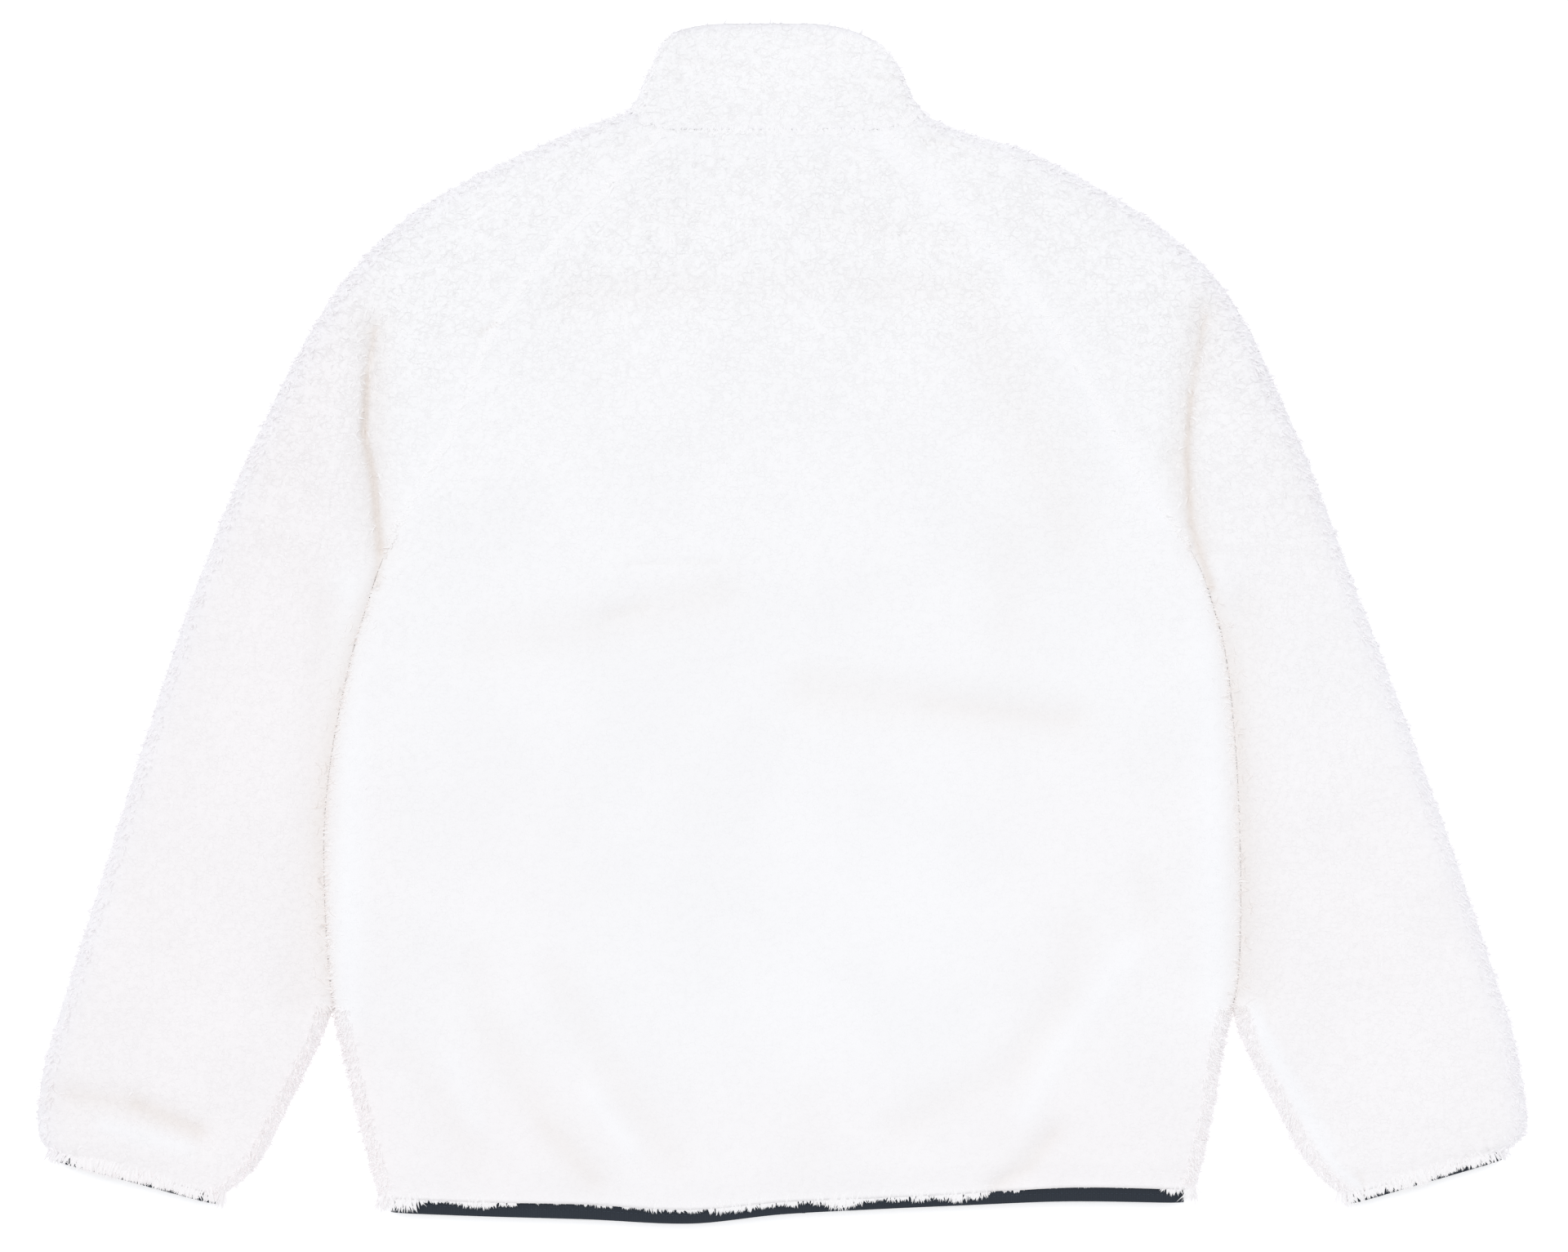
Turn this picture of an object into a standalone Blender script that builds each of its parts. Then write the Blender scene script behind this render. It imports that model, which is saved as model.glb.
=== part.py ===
# Sherpa fleece jacket with raglan sleeves, laid flat on its front so that the back is uppermost.
# +X is right as the back is seen, +Y runs from the hem to the collar, +Z is up from the table.
# Lower layer: the fronts and the front halves of the sleeves and collar, flat on the table.
# Upper layer: the back and the back halves. Every cloth piece is one closed wall, made as a grid
# of outer points and the same grid carried to the inner face. Lengths below are millimetres.

import math
from collections import namedtuple

import bmesh
import bpy

MM = 0.001
SEAM_GAP = 0.35          # clear space between two pieces where they are sewn together

# Heights over the table
FRONT_WALL = 6.0         # lower layer: knit backing and the pile pressed under the jacket
ZIP_WALL = 4.6           # lower layer beside the zip, where the tape is sewn behind it
LOFT = 17.0              # top of the upper layer on a smooth stretch
FOLD_LINE = 9.0          # the outline's own height, where upper and lower layer meet
AIR_LEAST = 1.0          # air between the layers under a deep trough
AIR_MOST = 3.6           # air between the layers under a smooth stretch or a ridge
LOFT_LEAST = 12.0        # loft at which the air is at its least
AIR_PER_LOFT = 0.65
UPPER_REACH = 16.0       # how far in from a rounded edge the upper layer gains its loft
LOWER_REACH = 11.0       # how far in from it the underside comes down to the table
EDGE_WALL = 6.5          # wall at the rounded edge itself, measured inwards

# Lengthwise sections of the body, from the hem key to the neck key
HEM_KEY = -374.0
NECK_KEY = 321.0
PART_KEY = -250.0        # the sleeves lie against the body above here
CUFF_KEY = -372.0
SECTION_STEP = 26.0
HEM_FADE = 70.0          # above this height the slant of the hem is lost
ARMPIT_TOP = 62.0        # raglan seams lie flat above here
ARMPIT_BASE = 12.0       # edges are fully rounded below here

# Raglan seams and side edges of the back: height, left edge, right edge
SIDE_EDGES = (
    (-374.0, -262.0, 269.0),
    (-350.0, -269.0, 275.0),
    (-310.0, -279.0, 282.0),
    (-265.0, -288.5, 289.0),
    (-231.0, -293.5, 296.0),
    (-178.0, -297.0, 298.0),
    (-125.0, -297.0, 297.0),
    (-72.0, -290.5, 294.0),
    (-19.0, -279.0, 288.0),
    (12.0, -269.5, 280.0),
    (40.0, -260.5, 270.0),
    (66.0, -248.0, 254.0),
    (94.0, -231.5, 233.0),
    (127.0, -214.0, 214.0),
    (160.0, -201.0, 197.0),
    (190.0, -187.0, 179.0),
    (220.0, -168.0, 158.0),
    (250.0, -144.0, 131.0),
    (279.0, -117.0, 103.0),
    (304.0, -92.0, 80.0),
    (321.0, -78.0, 67.0),
)

# Sleeves, one row a section: height of its inner end, the sleeve's own inner edge where it has
# left the body, then the outline point (x, y) at its outer end
LEFT_SLEEVE = (
    (-372.0, -365.0, -473.0, -343.0),
    (-361.0, -350.0, -482.0, -337.0),
    (-345.0, -337.0, -484.5, -327.0),
    (-321.0, -325.0, -484.0, -312.0),
    (-291.0, -310.0, -480.5, -287.0),
    (-262.0, -296.5, -472.5, -260.0),
    (-231.0, -288.0, -463.5, -231.0),
    (-178.0, -282.0, -447.0, -178.0),
    (-125.0, -278.0, -430.5, -125.0),
    (-72.0, -274.0, -414.5, -74.0),
    (-19.0, -268.0, -397.5, -22.0),
    (12.0, -262.0, -387.0, 10.0),
    (40.0, -255.0, -375.5, 40.0),
    (66.0, -240.0, -363.5, 72.0),
    (94.0, -220.0, -348.5, 108.0),
    (127.0, -205.0, -330.0, 147.0),
    (160.0, -190.0, -308.0, 189.0),
    (190.0, -175.0, -283.0, 227.0),
    (220.0, -155.0, -248.0, 262.0),
    (250.0, -130.0, -211.0, 286.0),
    (279.0, -105.0, -168.0, 307.0),
    (304.0, -80.0, -126.0, 325.0),
    (321.0, -60.0, -99.5, 333.0),
)
RIGHT_SLEEVE = (
    (-372.0, 366.0, 469.0, -342.0),
    (-361.0, 351.0, 480.0, -336.0),
    (-345.0, 338.0, 485.0, -327.0),
    (-321.0, 325.0, 484.5, -312.0),
    (-291.0, 309.0, 480.5, -288.0),
    (-262.0, 296.0, 474.5, -260.0),
    (-231.0, 290.0, 465.0, -231.0),
    (-178.0, 284.0, 447.5, -178.0),
    (-125.0, 280.0, 429.0, -125.0),
    (-72.0, 276.0, 410.5, -74.0),
    (-19.0, 270.0, 391.0, -22.0),
    (12.0, 264.0, 379.0, 9.0),
    (40.0, 256.0, 368.0, 38.0),
    (66.0, 242.0, 355.5, 72.0),
    (94.0, 222.0, 341.0, 110.0),
    (127.0, 205.0, 323.0, 151.0),
    (160.0, 188.0, 304.0, 192.0),
    (190.0, 170.0, 281.0, 227.0),
    (220.0, 148.0, 246.0, 259.0),
    (250.0, 120.0, 206.0, 284.0),
    (279.0, 92.0, 160.0, 308.0),
    (304.0, 68.0, 118.0, 320.5),
    (321.0, 50.0, 93.5, 331.5),
)

# Hem: place across, end of the fleece, lower edge of the binding
HEM = (
    (-262.0, -373.0, -383.0),
    (-200.0, -375.5, -385.3),
    (-130.0, -377.0, -387.3),
    (-60.0, -380.5, -390.0),
    (0.0, -375.5, -384.0),
    (60.0, -373.0, -380.8),
    (120.0, -370.0, -378.2),
    (190.0, -366.0, -375.6),
    (269.0, -367.5, -376.6),
)

# Soft folds of the upper layer: start (x, y), end (x, y), half width, height (a trough is below 0)
FOLDS = (
    (-261.0, 50.0, -268.0, 108.0, 11.0, -4.5),   # crease of the left sleeve over the armpit
    (-268.0, 108.0, -266.0, 192.0, 11.0, -4.5),
    (271.0, 50.0, 259.0, 108.0, 11.0, -4.5),     # the same crease on the right
    (259.0, 108.0, 274.0, 203.0, 11.0, -4.0),
    (-137.0, 217.0, -57.0, 215.0, 15.0, -1.6),   # across the shoulder blades
    (-57.0, 215.0, 65.0, 220.0, 15.0, -0.8),
    (65.0, 220.0, 128.0, 217.0, 15.0, -1.8),
    (-190.0, -15.0, -41.0, 19.0, 20.0, -2.2),    # left of the waist
    (23.0, -39.0, 187.0, -65.0, 20.0, -2.8),     # right of the waist
    (134.0, 176.0, 176.0, 75.0, 24.0, -1.8),     # under the right shoulder blade
    (176.0, 75.0, 144.0, 12.0, 24.0, -1.6),
    (-195.0, -264.0, -68.0, -349.0, 15.0, -2.2),  # towards the hem, fanning out to both sides
    (-163.0, -221.0, -126.0, -274.0, 14.0, -1.4),
    (-126.0, -274.0, -73.0, -338.0, 14.0, -1.8),
    (192.0, -222.0, 160.0, -285.0, 16.0, -1.8),
    (160.0, -285.0, 118.0, -338.0, 16.0, -2.2),
    (107.0, -200.0, 44.0, -263.0, 16.0, -1.3),
    (-25.0, -311.0, -25.0, -365.0, 13.0, -1.2),
    (-455.0, -309.0, -380.0, -333.0, 14.0, -2.8),  # over the left cuff
    (-450.0, -331.0, -376.0, -357.0, 12.0, 1.4),
    (-279.0, 20.0, -283.0, -250.0, 15.0, 1.6),   # body edge, full where it lies beside the sleeve
    (276.0, 20.0, 283.0, -250.0, 15.0, 1.6),
    (-292.0, 10.0, -312.0, -240.0, 14.0, -2.6),  # sleeve, low beside the body edge
    (300.0, 10.0, 312.0, -240.0, 14.0, -2.6),
)
HEM_EASE = 3.0           # loft lost where the binding draws the hem and the cuffs in
EASE_LENGTH = 22.0

# Front neckline and the front halves of the raglan seams
FRONT_DROP = 18.0        # the front raglan seam ends this far under the back one at the neck
FRONT_SET_OUT = 6.0      # and this far outside it
NECK_DIP = 35.0          # front neckline, centre under its ends
NECK_FADE = 130.0        # length over which the sections of the fronts take the neckline's curve

# Stand collar: share of its height, shares of its base width on the left and on the right
COLLAR_ROWS = (
    (0.0, 1.0, 1.0),
    (0.2, 0.937, 0.905),
    (0.45, 0.87, 0.84),
    (0.7, 0.80, 0.77),
    (0.9, 0.745, 0.68),
    (1.0, 0.685, 0.61),
)
COLLAR_TOP_BACK = 391.2  # highest point of the collar, at the middle of the back
COLLAR_TOP_LEFT = 383.0  # its height at the left fold
COLLAR_TOP_RIGHT = 377.0
COLLAR_DROP_LEFT = 4.0   # how late the upper edge falls away to the left fold
COLLAR_DROP_RIGHT = 2.6  # it falls away sooner on the right
COLLAR_TOP_FRONT = 331.0
COLLAR_SAG = 5.5         # the back of the collar sinks where no front lies under it
SAG_START = 340.0
SAG_LENGTH = 45.0
COLLAR_ROUND = 2.4       # wall lost at each face along the collar's upper edge

# Binding of the hem and cuffs, a folded elastic band
BAND_TOP = 11.0
BAND_UNDER = 7.6
BAND_FOLD = 5.8
BAND_WALL = 3.6
BAND_HEM_WIDTH = 0.974   # its length across against the fleece it draws in
BAND_CUFF_WIDTH = 0.97
BAND_SOFT = 0.5          # wall lost at each face along its two edges
HEM_DRAW_IN = 60.0       # length beside the zip over which it takes up that draw
CUFF_BAND = 6.5          # height of the cuff binding
BAND_ROWS = (0.0, 0.3, 0.85, 1.0)

# Zip along the front edges, full length, on the underside
ZIP_HALF = 6.5           # from the zip's centre line to each front edge
TAPE_HALF = 15.0
ZIP_FLAT = 17.5          # the lower layer stays thin up to here
ZIP_STEP = 9.0           # and gains its full wall over this length
TAPE_BASE = 4.9
TAPE_TOP = 5.7
CHAIN_HALF = 2.9
CHAIN_BASE = 4.2
ZIP_BOTTOM = -384.0
ZIP_TOP = 330.0
PIVOT = (0.0, 321.0, 1.75)   # hinge line of the pull tab on the slider, along X
SLIDER_LENGTH = 11.0
SLIDER_HALF = 5.0
SLIDER_BASE = 3.2
SLIDER_FACE = 3.9
WING_TOP = 4.6
WING_INSIDE = 3.3
EAR_INSIDE = 2.3
EAR_OUTSIDE = 3.3
EAR_RADIUS = 1.15
EAR_ROOT = 0.25          # how deep the ears are set into the slider's plate
PIN_RADIUS = 0.5
KNUCKLE_RADIUS = 1.15
BORE_RADIUS = 0.8
KNUCKLE_HALF = 2.0
TAB_LENGTH = 27.0
TAB_HALF = 3.4
TAB_THICK = 1.2
TAB_NECK = 3.4           # from the hinge line to where the tab takes its full width
SLOT_LENGTH = 7.0
SLOT_HALF = 1.4
STOP_LENGTH = 9.0
STOP_HALF = 4.6
STOP_BASE = 2.9
ROUND_SIDES = 20

# Divisions of the walls
ROLL_ANGLES = (0.0, 28.0, 58.0, 90.0)
BACK_COLUMNS = 20
FRONT_COLUMNS = 9
SLEEVE_UPPER_COLUMNS = 6
SLEEVE_LOWER_COLUMNS = 4
CROWDED = 5.0

FLEECE = (0.93, 0.925, 0.935)
NAVY = (0.024, 0.040, 0.058)
DARK_METAL = (0.10, 0.10, 0.11)


Spot = namedtuple("Spot", "outer inner rise upper")


def smooth_step(value):
    value = min(1.0, max(0.0, value))
    return value * value * (3.0 - 2.0 * value)


def mix(first, last, share):
    return first + (last - first) * share


def read_table(table, key, column):
    """Value of one column at a key, on a smooth curve through the table's rows."""
    last = len(table) - 1
    index = 0
    while index < last - 1 and key > table[index + 1][0]:
        index += 1
    low = table[index]
    high = table[index + 1]
    before = table[max(index - 1, 0)]
    after = table[min(index + 2, last)]
    span = high[0] - low[0]
    share = (key - low[0]) / span
    slope_low = (high[column] - before[column]) / (high[0] - before[0]) * span
    slope_high = (after[column] - low[column]) / (after[0] - low[0]) * span
    square = share * share
    cube = square * share
    value = (2.0 * cube - 3.0 * square + 1.0) * low[column]
    value += (cube - 2.0 * square + share) * slope_low
    value += (3.0 * square - 2.0 * cube) * high[column]
    return value + (cube - square) * slope_high


def fold_height(fold, x, y):
    """Height that one fold adds at a place: a soft bell across it, faded out past its ends."""
    x1, y1, x2, y2, half_width, height = fold
    along_x = x2 - x1
    along_y = y2 - y1
    share = ((x - x1) * along_x + (y - y1) * along_y) / (along_x ** 2 + along_y ** 2)
    share = min(1.0, max(0.0, share))
    distance = math.hypot(x - x1 - share * along_x, y - y1 - share * along_y)
    return height * math.exp(-((distance / half_width) ** 2))


def loft_at(x, y):
    """Top of the upper layer over the table, where it lies flat."""
    return LOFT + sum(fold_height(fold, x, y) for fold in FOLDS)


def under_at(loft):
    """Inner face of the upper layer over the table."""
    air = AIR_LEAST + AIR_PER_LOFT * (loft - LOFT_LEAST)
    return FRONT_WALL + min(AIR_MOST, max(AIR_LEAST, air))


def lower_wall(x):
    """Thickness of the lower layer, thinner beside the zip."""
    return mix(ZIP_WALL, FRONT_WALL, smooth_step((abs(x) - ZIP_FLAT) / ZIP_STEP))


def upper_spot(outer, inner, rise, ease=0.0, half_gap=0.0):
    """Place on the upper layer; its rise is 0 on the outline and 1 where the layer lies flat."""
    base = FOLD_LINE + half_gap
    loft = loft_at(outer[0], outer[1]) - ease
    under = under_at(loft)
    outer_point = (outer[0], outer[1], mix(base, loft, rise))
    inner_point = (inner[0], inner[1], mix(base, under, rise))
    return Spot(outer_point, inner_point, rise, True)


def lower_spot(outer, inner, rise, half_gap=0.0):
    """Place on the lower layer, whose outer face lies on the table."""
    base = FOLD_LINE - half_gap
    outer_point = (outer[0], outer[1], mix(base, 0.0, rise))
    inner_point = (inner[0], inner[1], mix(base, lower_wall(inner[0]), rise))
    return Spot(outer_point, inner_point, rise, False)


def roll_steps(reach, roll):
    """Across a rounded edge: outer inset, inner inset and rise for each step of the rounding."""
    steps = []
    for angle in ROLL_ANGLES:
        turn = math.radians(angle)
        outer = reach * (1.0 - math.cos(turn))
        inner = EDGE_WALL + (reach - EDGE_WALL) * (1.0 - math.cos(turn))
        rise = 1.0 - roll * (1.0 - math.sin(turn))
        steps.append((outer, mix(outer, inner, roll), rise))
    return steps


def roll_at(key):
    """How far the edges of body and sleeve are rounded: not along the raglan, fully at the side."""
    return smooth_step((ARMPIT_TOP - key) / (ARMPIT_TOP - ARMPIT_BASE))


def section_keys(first, last, step):
    """Evenly spaced sections from the first key up to the last."""
    count = max(1, round((last - first) / step))
    return [mix(first, last, index / count) for index in range(count + 1)]


def piece_keys(first):
    """Sections of a body panel or sleeve; above PART_KEY all of them share the same ones."""
    return section_keys(first, PART_KEY, SECTION_STEP)[:-1] + section_keys(PART_KEY, NECK_KEY, SECTION_STEP)


def make_wall(name, rows, color, roughness=0.95, metallic=0.0):
    """Closed wall from rows of spots: a grid of outer points, extruded to the inner ones."""
    spots = [spot for row in rows for spot in row]
    mesh = bmesh.new()
    bmesh.ops.create_grid(mesh, x_segments=len(rows[0]) - 1, y_segments=len(rows) - 1, size=1.0)
    place = mesh.verts.layers.int.new("place")
    for index, vert in enumerate(mesh.verts):
        vert[place] = index
    for vert in mesh.verts:
        vert.co = [value * MM for value in spots[vert[place]].outer]
    grown = bmesh.ops.extrude_face_region(mesh, geom=list(mesh.faces), use_keep_orig=True)
    for item in grown["geom"]:
        if isinstance(item, bmesh.types.BMVert):
            item.co = [value * MM for value in spots[item[place]].inner]
    mesh.verts.layers.int.remove(place)
    return finish_piece(name, mesh, color, roughness, metallic)


def finish_piece(name, mesh, color, roughness, metallic):
    """Object, smooth shading and material for a finished shape."""
    bmesh.ops.recalc_face_normals(mesh, faces=list(mesh.faces))
    data = bpy.data.meshes.new(name)
    mesh.to_mesh(data)
    mesh.free()
    data.shade_smooth()
    data.set_sharp_from_angle(angle=math.radians(50.0))
    piece = bpy.data.objects.new(name, data)
    bpy.context.scene.collection.objects.link(piece)
    material = bpy.data.materials.new(name)
    material.use_nodes = True
    shader = material.node_tree.nodes["Principled BSDF"]
    shader.inputs["Base Color"].default_value = (*color, 1.0)
    shader.inputs["Roughness"].default_value = roughness
    shader.inputs["Metallic"].default_value = metallic
    data.materials.append(material)
    return piece


def side_x(key, side):
    return read_table(SIDE_EDGES, key, 1 if side < 0 else 2)


def hem_shift(x, key):
    """Change in height that the slanting hem gives a section of the body."""
    return (read_table(HEM, x, 1) - HEM_KEY) * smooth_step((HEM_KEY + HEM_FADE - key) / HEM_FADE)


def hem_ease(key):
    return HEM_EASE * smooth_step((HEM_KEY + EASE_LENGTH - key) / EASE_LENGTH)


def front_drop(key):
    return smooth_step((key - ARMPIT_TOP) / (NECK_KEY - ARMPIT_TOP))


def back_section(key):
    """Section of the back from its left to its right edge."""
    left = side_x(key, -1)
    right = side_x(key, 1)
    roll = roll_at(key)
    steps = roll_steps(UPPER_REACH, roll)
    places = [(left + outer, left + inner, rise) for outer, inner, rise in steps]
    first = left + UPPER_REACH
    last = right - UPPER_REACH
    for index in range(1, BACK_COLUMNS):
        x = mix(first, last, index / BACK_COLUMNS)
        places.append((x, x, 1.0))
    places += [(right - outer, right - inner, rise) for outer, inner, rise in reversed(steps)]
    gap = SEAM_GAP / 2.0 * roll
    spots = []
    for outer_x, inner_x, rise in places:
        outer = (outer_x, key + hem_shift(outer_x, key))
        inner = (inner_x, key + hem_shift(inner_x, key))
        spots.append(upper_spot(outer, inner, rise, hem_ease(key), gap))
    return spots


def front_section(key, side):
    """Section of a front from the zip to its side edge; side is -1 for the left and 1 for the right."""
    drop = front_drop(key)
    edge = side_x(key, side) + side * FRONT_SET_OUT * drop
    roll = roll_at(key)
    steps = roll_steps(LOWER_REACH, roll)
    last = edge - side * LOWER_REACH
    places = [(side * ZIP_HALF, side * ZIP_HALF, 1.0)]
    for index in range(FRONT_COLUMNS):
        x = mix(side * ZIP_FLAT, last, index / FRONT_COLUMNS)
        places.append((x, x, 1.0))
    places += [(edge - side * outer, edge - side * inner, rise) for outer, inner, rise in reversed(steps)]
    fade = smooth_step((key - NECK_KEY + NECK_FADE) / NECK_FADE)
    gap = SEAM_GAP / 2.0 * roll
    spots = []
    for outer_x, inner_x, rise in places:
        points = []
        for x in (outer_x, inner_x):
            dip = NECK_DIP * fade * math.cos(math.pi / 2.0 * x / edge)
            points.append((x, key - FRONT_DROP * drop - dip + hem_shift(x, key)))
        spots.append(lower_spot(points[0], points[1], rise, gap))
    return spots


def leg(start, end, inset):
    """Point on the line from start to end, inset from start."""
    length = math.hypot(end[0] - start[0], end[1] - start[1])
    return (
        start[0] + (end[0] - start[0]) * inset / length,
        start[1] + (end[1] - start[1]) * inset / length,
    )


def sleeve_section(key, side, table):
    """Section of a sleeve: upper layer from its seam out to the fold, then back along the table."""
    own = side * read_table(table, key, 1)
    beside_body = side * side_x(key, side) + SEAM_GAP
    inner_x = side * max(own, beside_body)
    fold = (read_table(table, key, 2), read_table(table, key, 3))
    drop = front_drop(key)
    back_end = (inner_x, key)
    front_end = (inner_x + side * FRONT_SET_OUT * drop, key - FRONT_DROP * drop)
    roll = roll_at(key)
    gap = SEAM_GAP / 2.0 * roll
    ease = hem_ease(key)
    upper_width = math.dist(back_end, fold)
    lower_width = math.dist(front_end, fold)
    upper_reach = min(UPPER_REACH, 0.42 * upper_width)
    lower_reach = min(LOWER_REACH, 0.42 * lower_width)
    spots = []
    for outer, inner, rise in roll_steps(upper_reach, roll):
        spots.append(upper_spot(leg(back_end, fold, outer), leg(back_end, fold, inner), rise, ease, gap))
    for index in range(1, SLEEVE_UPPER_COLUMNS):
        share = index / SLEEVE_UPPER_COLUMNS
        point = leg(back_end, fold, mix(upper_reach, upper_width - upper_reach, share))
        spots.append(upper_spot(point, point, 1.0, ease))
    for outer, inner, rise in reversed(roll_steps(upper_reach, 1.0)):
        spots.append(upper_spot(leg(fold, back_end, outer), leg(fold, back_end, inner), rise, ease))
    toward_back = leg(fold, back_end, EDGE_WALL)
    toward_front = leg(fold, front_end, EDGE_WALL)
    between = [mix(toward_back[axis], toward_front[axis], 0.5) for axis in (0, 1)]
    spots[-1] = upper_spot(fold, between, 0.0)
    for outer, inner, rise in roll_steps(lower_reach, 1.0)[1:]:
        spots.append(lower_spot(leg(fold, front_end, outer), leg(fold, front_end, inner), rise))
    for index in range(1, SLEEVE_LOWER_COLUMNS):
        share = index / SLEEVE_LOWER_COLUMNS
        point = leg(fold, front_end, mix(lower_reach, lower_width - lower_reach, share))
        spots.append(lower_spot(point, point, 1.0))
    for outer, inner, rise in reversed(roll_steps(lower_reach, roll)):
        spots.append(lower_spot(leg(front_end, fold, outer), leg(front_end, fold, inner), rise, gap))
    return spots


def shifted(spot, move_x, move_y):
    """The same spot, moved in plan."""
    outer = (spot.outer[0] + move_x, spot.outer[1] + move_y, spot.outer[2])
    inner = (spot.inner[0] + move_x, spot.inner[1] + move_y, spot.inner[2])
    return Spot(outer, inner, spot.rise, spot.upper)


def thinned(spots):
    """Only every spot of a fold and those flat ones that are not crowded."""
    kept = []
    for spot in spots:
        if spot.rise < 1.0 or not kept or math.dist(spot.outer, kept[-1].outer) > CROWDED:
            kept.append(spot)
    return kept


def sleeve_neck(spots, side):
    """Neck edge of a sleeve for the collar to follow, with more room round the tight fold."""
    row = []
    for spot in thinned(spots[1:-1]):
        room = SEAM_GAP * (1.5 + 4.5 * (1.0 - spot.rise))
        row.append(shifted(spot, -side * SEAM_GAP, room))
    return row


def neck_row(fronts, back, sleeves):
    """Lower edge of the collar: the neck edges of all pieces in turn, a seam's gap above them."""
    row = [shifted(spot, 0.0, SEAM_GAP) for spot in fronts[-1]]
    row += reversed(sleeve_neck(sleeves[-1], -1))
    row += [shifted(spot, 0.0, SEAM_GAP) for spot in back[::2]]
    row += sleeve_neck(sleeves[1], 1)
    row += [shifted(spot, 0.0, SEAM_GAP) for spot in reversed(fronts[1])]
    return row


def collar_spot(spot, share, widths, half_widths):
    """The collar at one share of its height, above a spot of its lower edge."""
    on_left = spot.outer[0] < 0.0
    width = widths[0] if on_left else widths[1]
    reach = min(1.0, abs(spot.outer[0]) / (half_widths[0] if on_left else half_widths[1]))
    top_side = COLLAR_TOP_LEFT if on_left else COLLAR_TOP_RIGHT
    if spot.upper:
        top = mix(COLLAR_TOP_BACK, top_side, reach ** (COLLAR_DROP_LEFT if on_left else COLLAR_DROP_RIGHT))
    else:
        top = mix(COLLAR_TOP_FRONT, top_side, reach ** 2)
    points = []
    for x, y, z in (spot.outer, spot.inner):
        drawn_in = max(0.0, abs(x) - ZIP_FLAT) * (1.0 - width)
        new_x = x - math.copysign(drawn_in, x)
        new_y = mix(y, top, share)
        if spot.upper:
            sink = smooth_step((new_y - SAG_START) / SAG_LENGTH)
            z -= COLLAR_SAG * (1.0 - reach ** 2) * sink * spot.rise
        points.append((new_x, new_y, z))
    edge = COLLAR_ROUND * smooth_step((share - 0.85) / 0.15) * spot.rise
    lift = -edge if spot.upper else edge
    outer = (points[0][0], points[0][1], points[0][2] + lift * 0.6)
    inner = (points[1][0], points[1][1], points[1][2] - lift * 0.5)
    return Spot(outer, inner, spot.rise, spot.upper)


def build_collar(base_row):
    places = [spot.outer[0] for spot in base_row]
    half_widths = (-min(places), max(places))
    rows = []
    for share, left_width, right_width in COLLAR_ROWS:
        widths = (left_width, right_width)
        rows.append([collar_spot(spot, share, widths, half_widths) for spot in base_row])
    return make_wall("collar", rows, FLEECE)


def band_spot(spot, outer_place, inner_place, share):
    """Binding at one share of its height: thinner than the fleece and rounded at both edges."""
    squeeze = BAND_SOFT if share in (0.0, 1.0) else 0.0
    half_gap = SEAM_GAP / 2.0 if spot.upper else -SEAM_GAP / 2.0
    middle = BAND_FOLD + half_gap
    if spot.upper:
        outer_z = mix(middle, BAND_TOP - squeeze, spot.rise)
        inner_z = mix(middle, BAND_UNDER + squeeze, spot.rise)
    else:
        outer_z = mix(middle, squeeze, spot.rise)
        inner_z = mix(middle, BAND_WALL - squeeze, spot.rise)
    return Spot((*outer_place, outer_z), (*inner_place, inner_z), spot.rise, spot.upper)


def thin_edge(outer, inner):
    """Inner place of the binding, whose wall at the folded edge is thinner than the fleece's."""
    share = BAND_WALL / EDGE_WALL
    return (mix(outer[0], inner[0], share), mix(outer[1], inner[1], share))


def build_hem_band(front_left, back, front_right):
    """One band along the hem, from the zip round the left side, across the back and to the zip."""
    base_row = front_left[:-1] + back + front_right[-2::-1]
    rows = []
    for share in BAND_ROWS:
        row = []
        for spot in base_row:
            width = mix(1.0, BAND_HEM_WIDTH, smooth_step((abs(spot.outer[0]) - ZIP_FLAT) / HEM_DRAW_IN))
            places = []
            for place in (spot.outer, thin_edge(spot.outer, spot.inner)):
                x = place[0] * width
                fleece_end = read_table(HEM, place[0], 1) - SEAM_GAP
                places.append((x, mix(fleece_end, read_table(HEM, place[0], 2), share)))
            row.append(band_spot(spot, places[0], places[1], share))
        rows.append(row)
    return make_wall("hem_binding", rows, NAVY, 0.8)


def build_cuff_band(name, end_row, side):
    """Band round one cuff, set on below the sleeve's last section."""
    start = end_row[0].outer
    fold = max((spot.outer for spot in end_row), key=lambda point: abs(point[0]))
    length = math.hypot(fold[0] - start[0], fold[1] - start[1])
    along = ((fold[0] - start[0]) / length, (fold[1] - start[1]) / length)
    down = (side * abs(along[1]), -abs(along[0]))
    middle = ((start[0] + fold[0]) / 2.0, (start[1] + fold[1]) / 2.0)
    rows = []
    for share in BAND_ROWS:
        drop = SEAM_GAP + CUFF_BAND * share
        row = []
        for spot in end_row:
            places = []
            for place in (spot.outer, thin_edge(spot.outer, spot.inner)):
                x = mix(middle[0], place[0], BAND_CUFF_WIDTH) + down[0] * drop
                y = mix(middle[1], place[1], BAND_CUFF_WIDTH) + down[1] * drop
                places.append((x, y))
            row.append(band_spot(spot, places[0], places[1], share))
        rows.append(row)
    return make_wall(name, rows, NAVY, 0.8)


def extruded(outline, move):
    """Prism from a flat outline and the vector that it is drawn out along."""
    mesh = bmesh.new()
    corners = [mesh.verts.new([value * MM for value in point]) for point in outline]
    face = mesh.faces.new(corners)
    grown = bmesh.ops.extrude_face_region(mesh, geom=[face], use_keep_orig=True)
    tips = [item for item in grown["geom"] if isinstance(item, bmesh.types.BMVert)]
    bmesh.ops.translate(mesh, verts=tips, vec=[value * MM for value in move])
    return mesh


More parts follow.
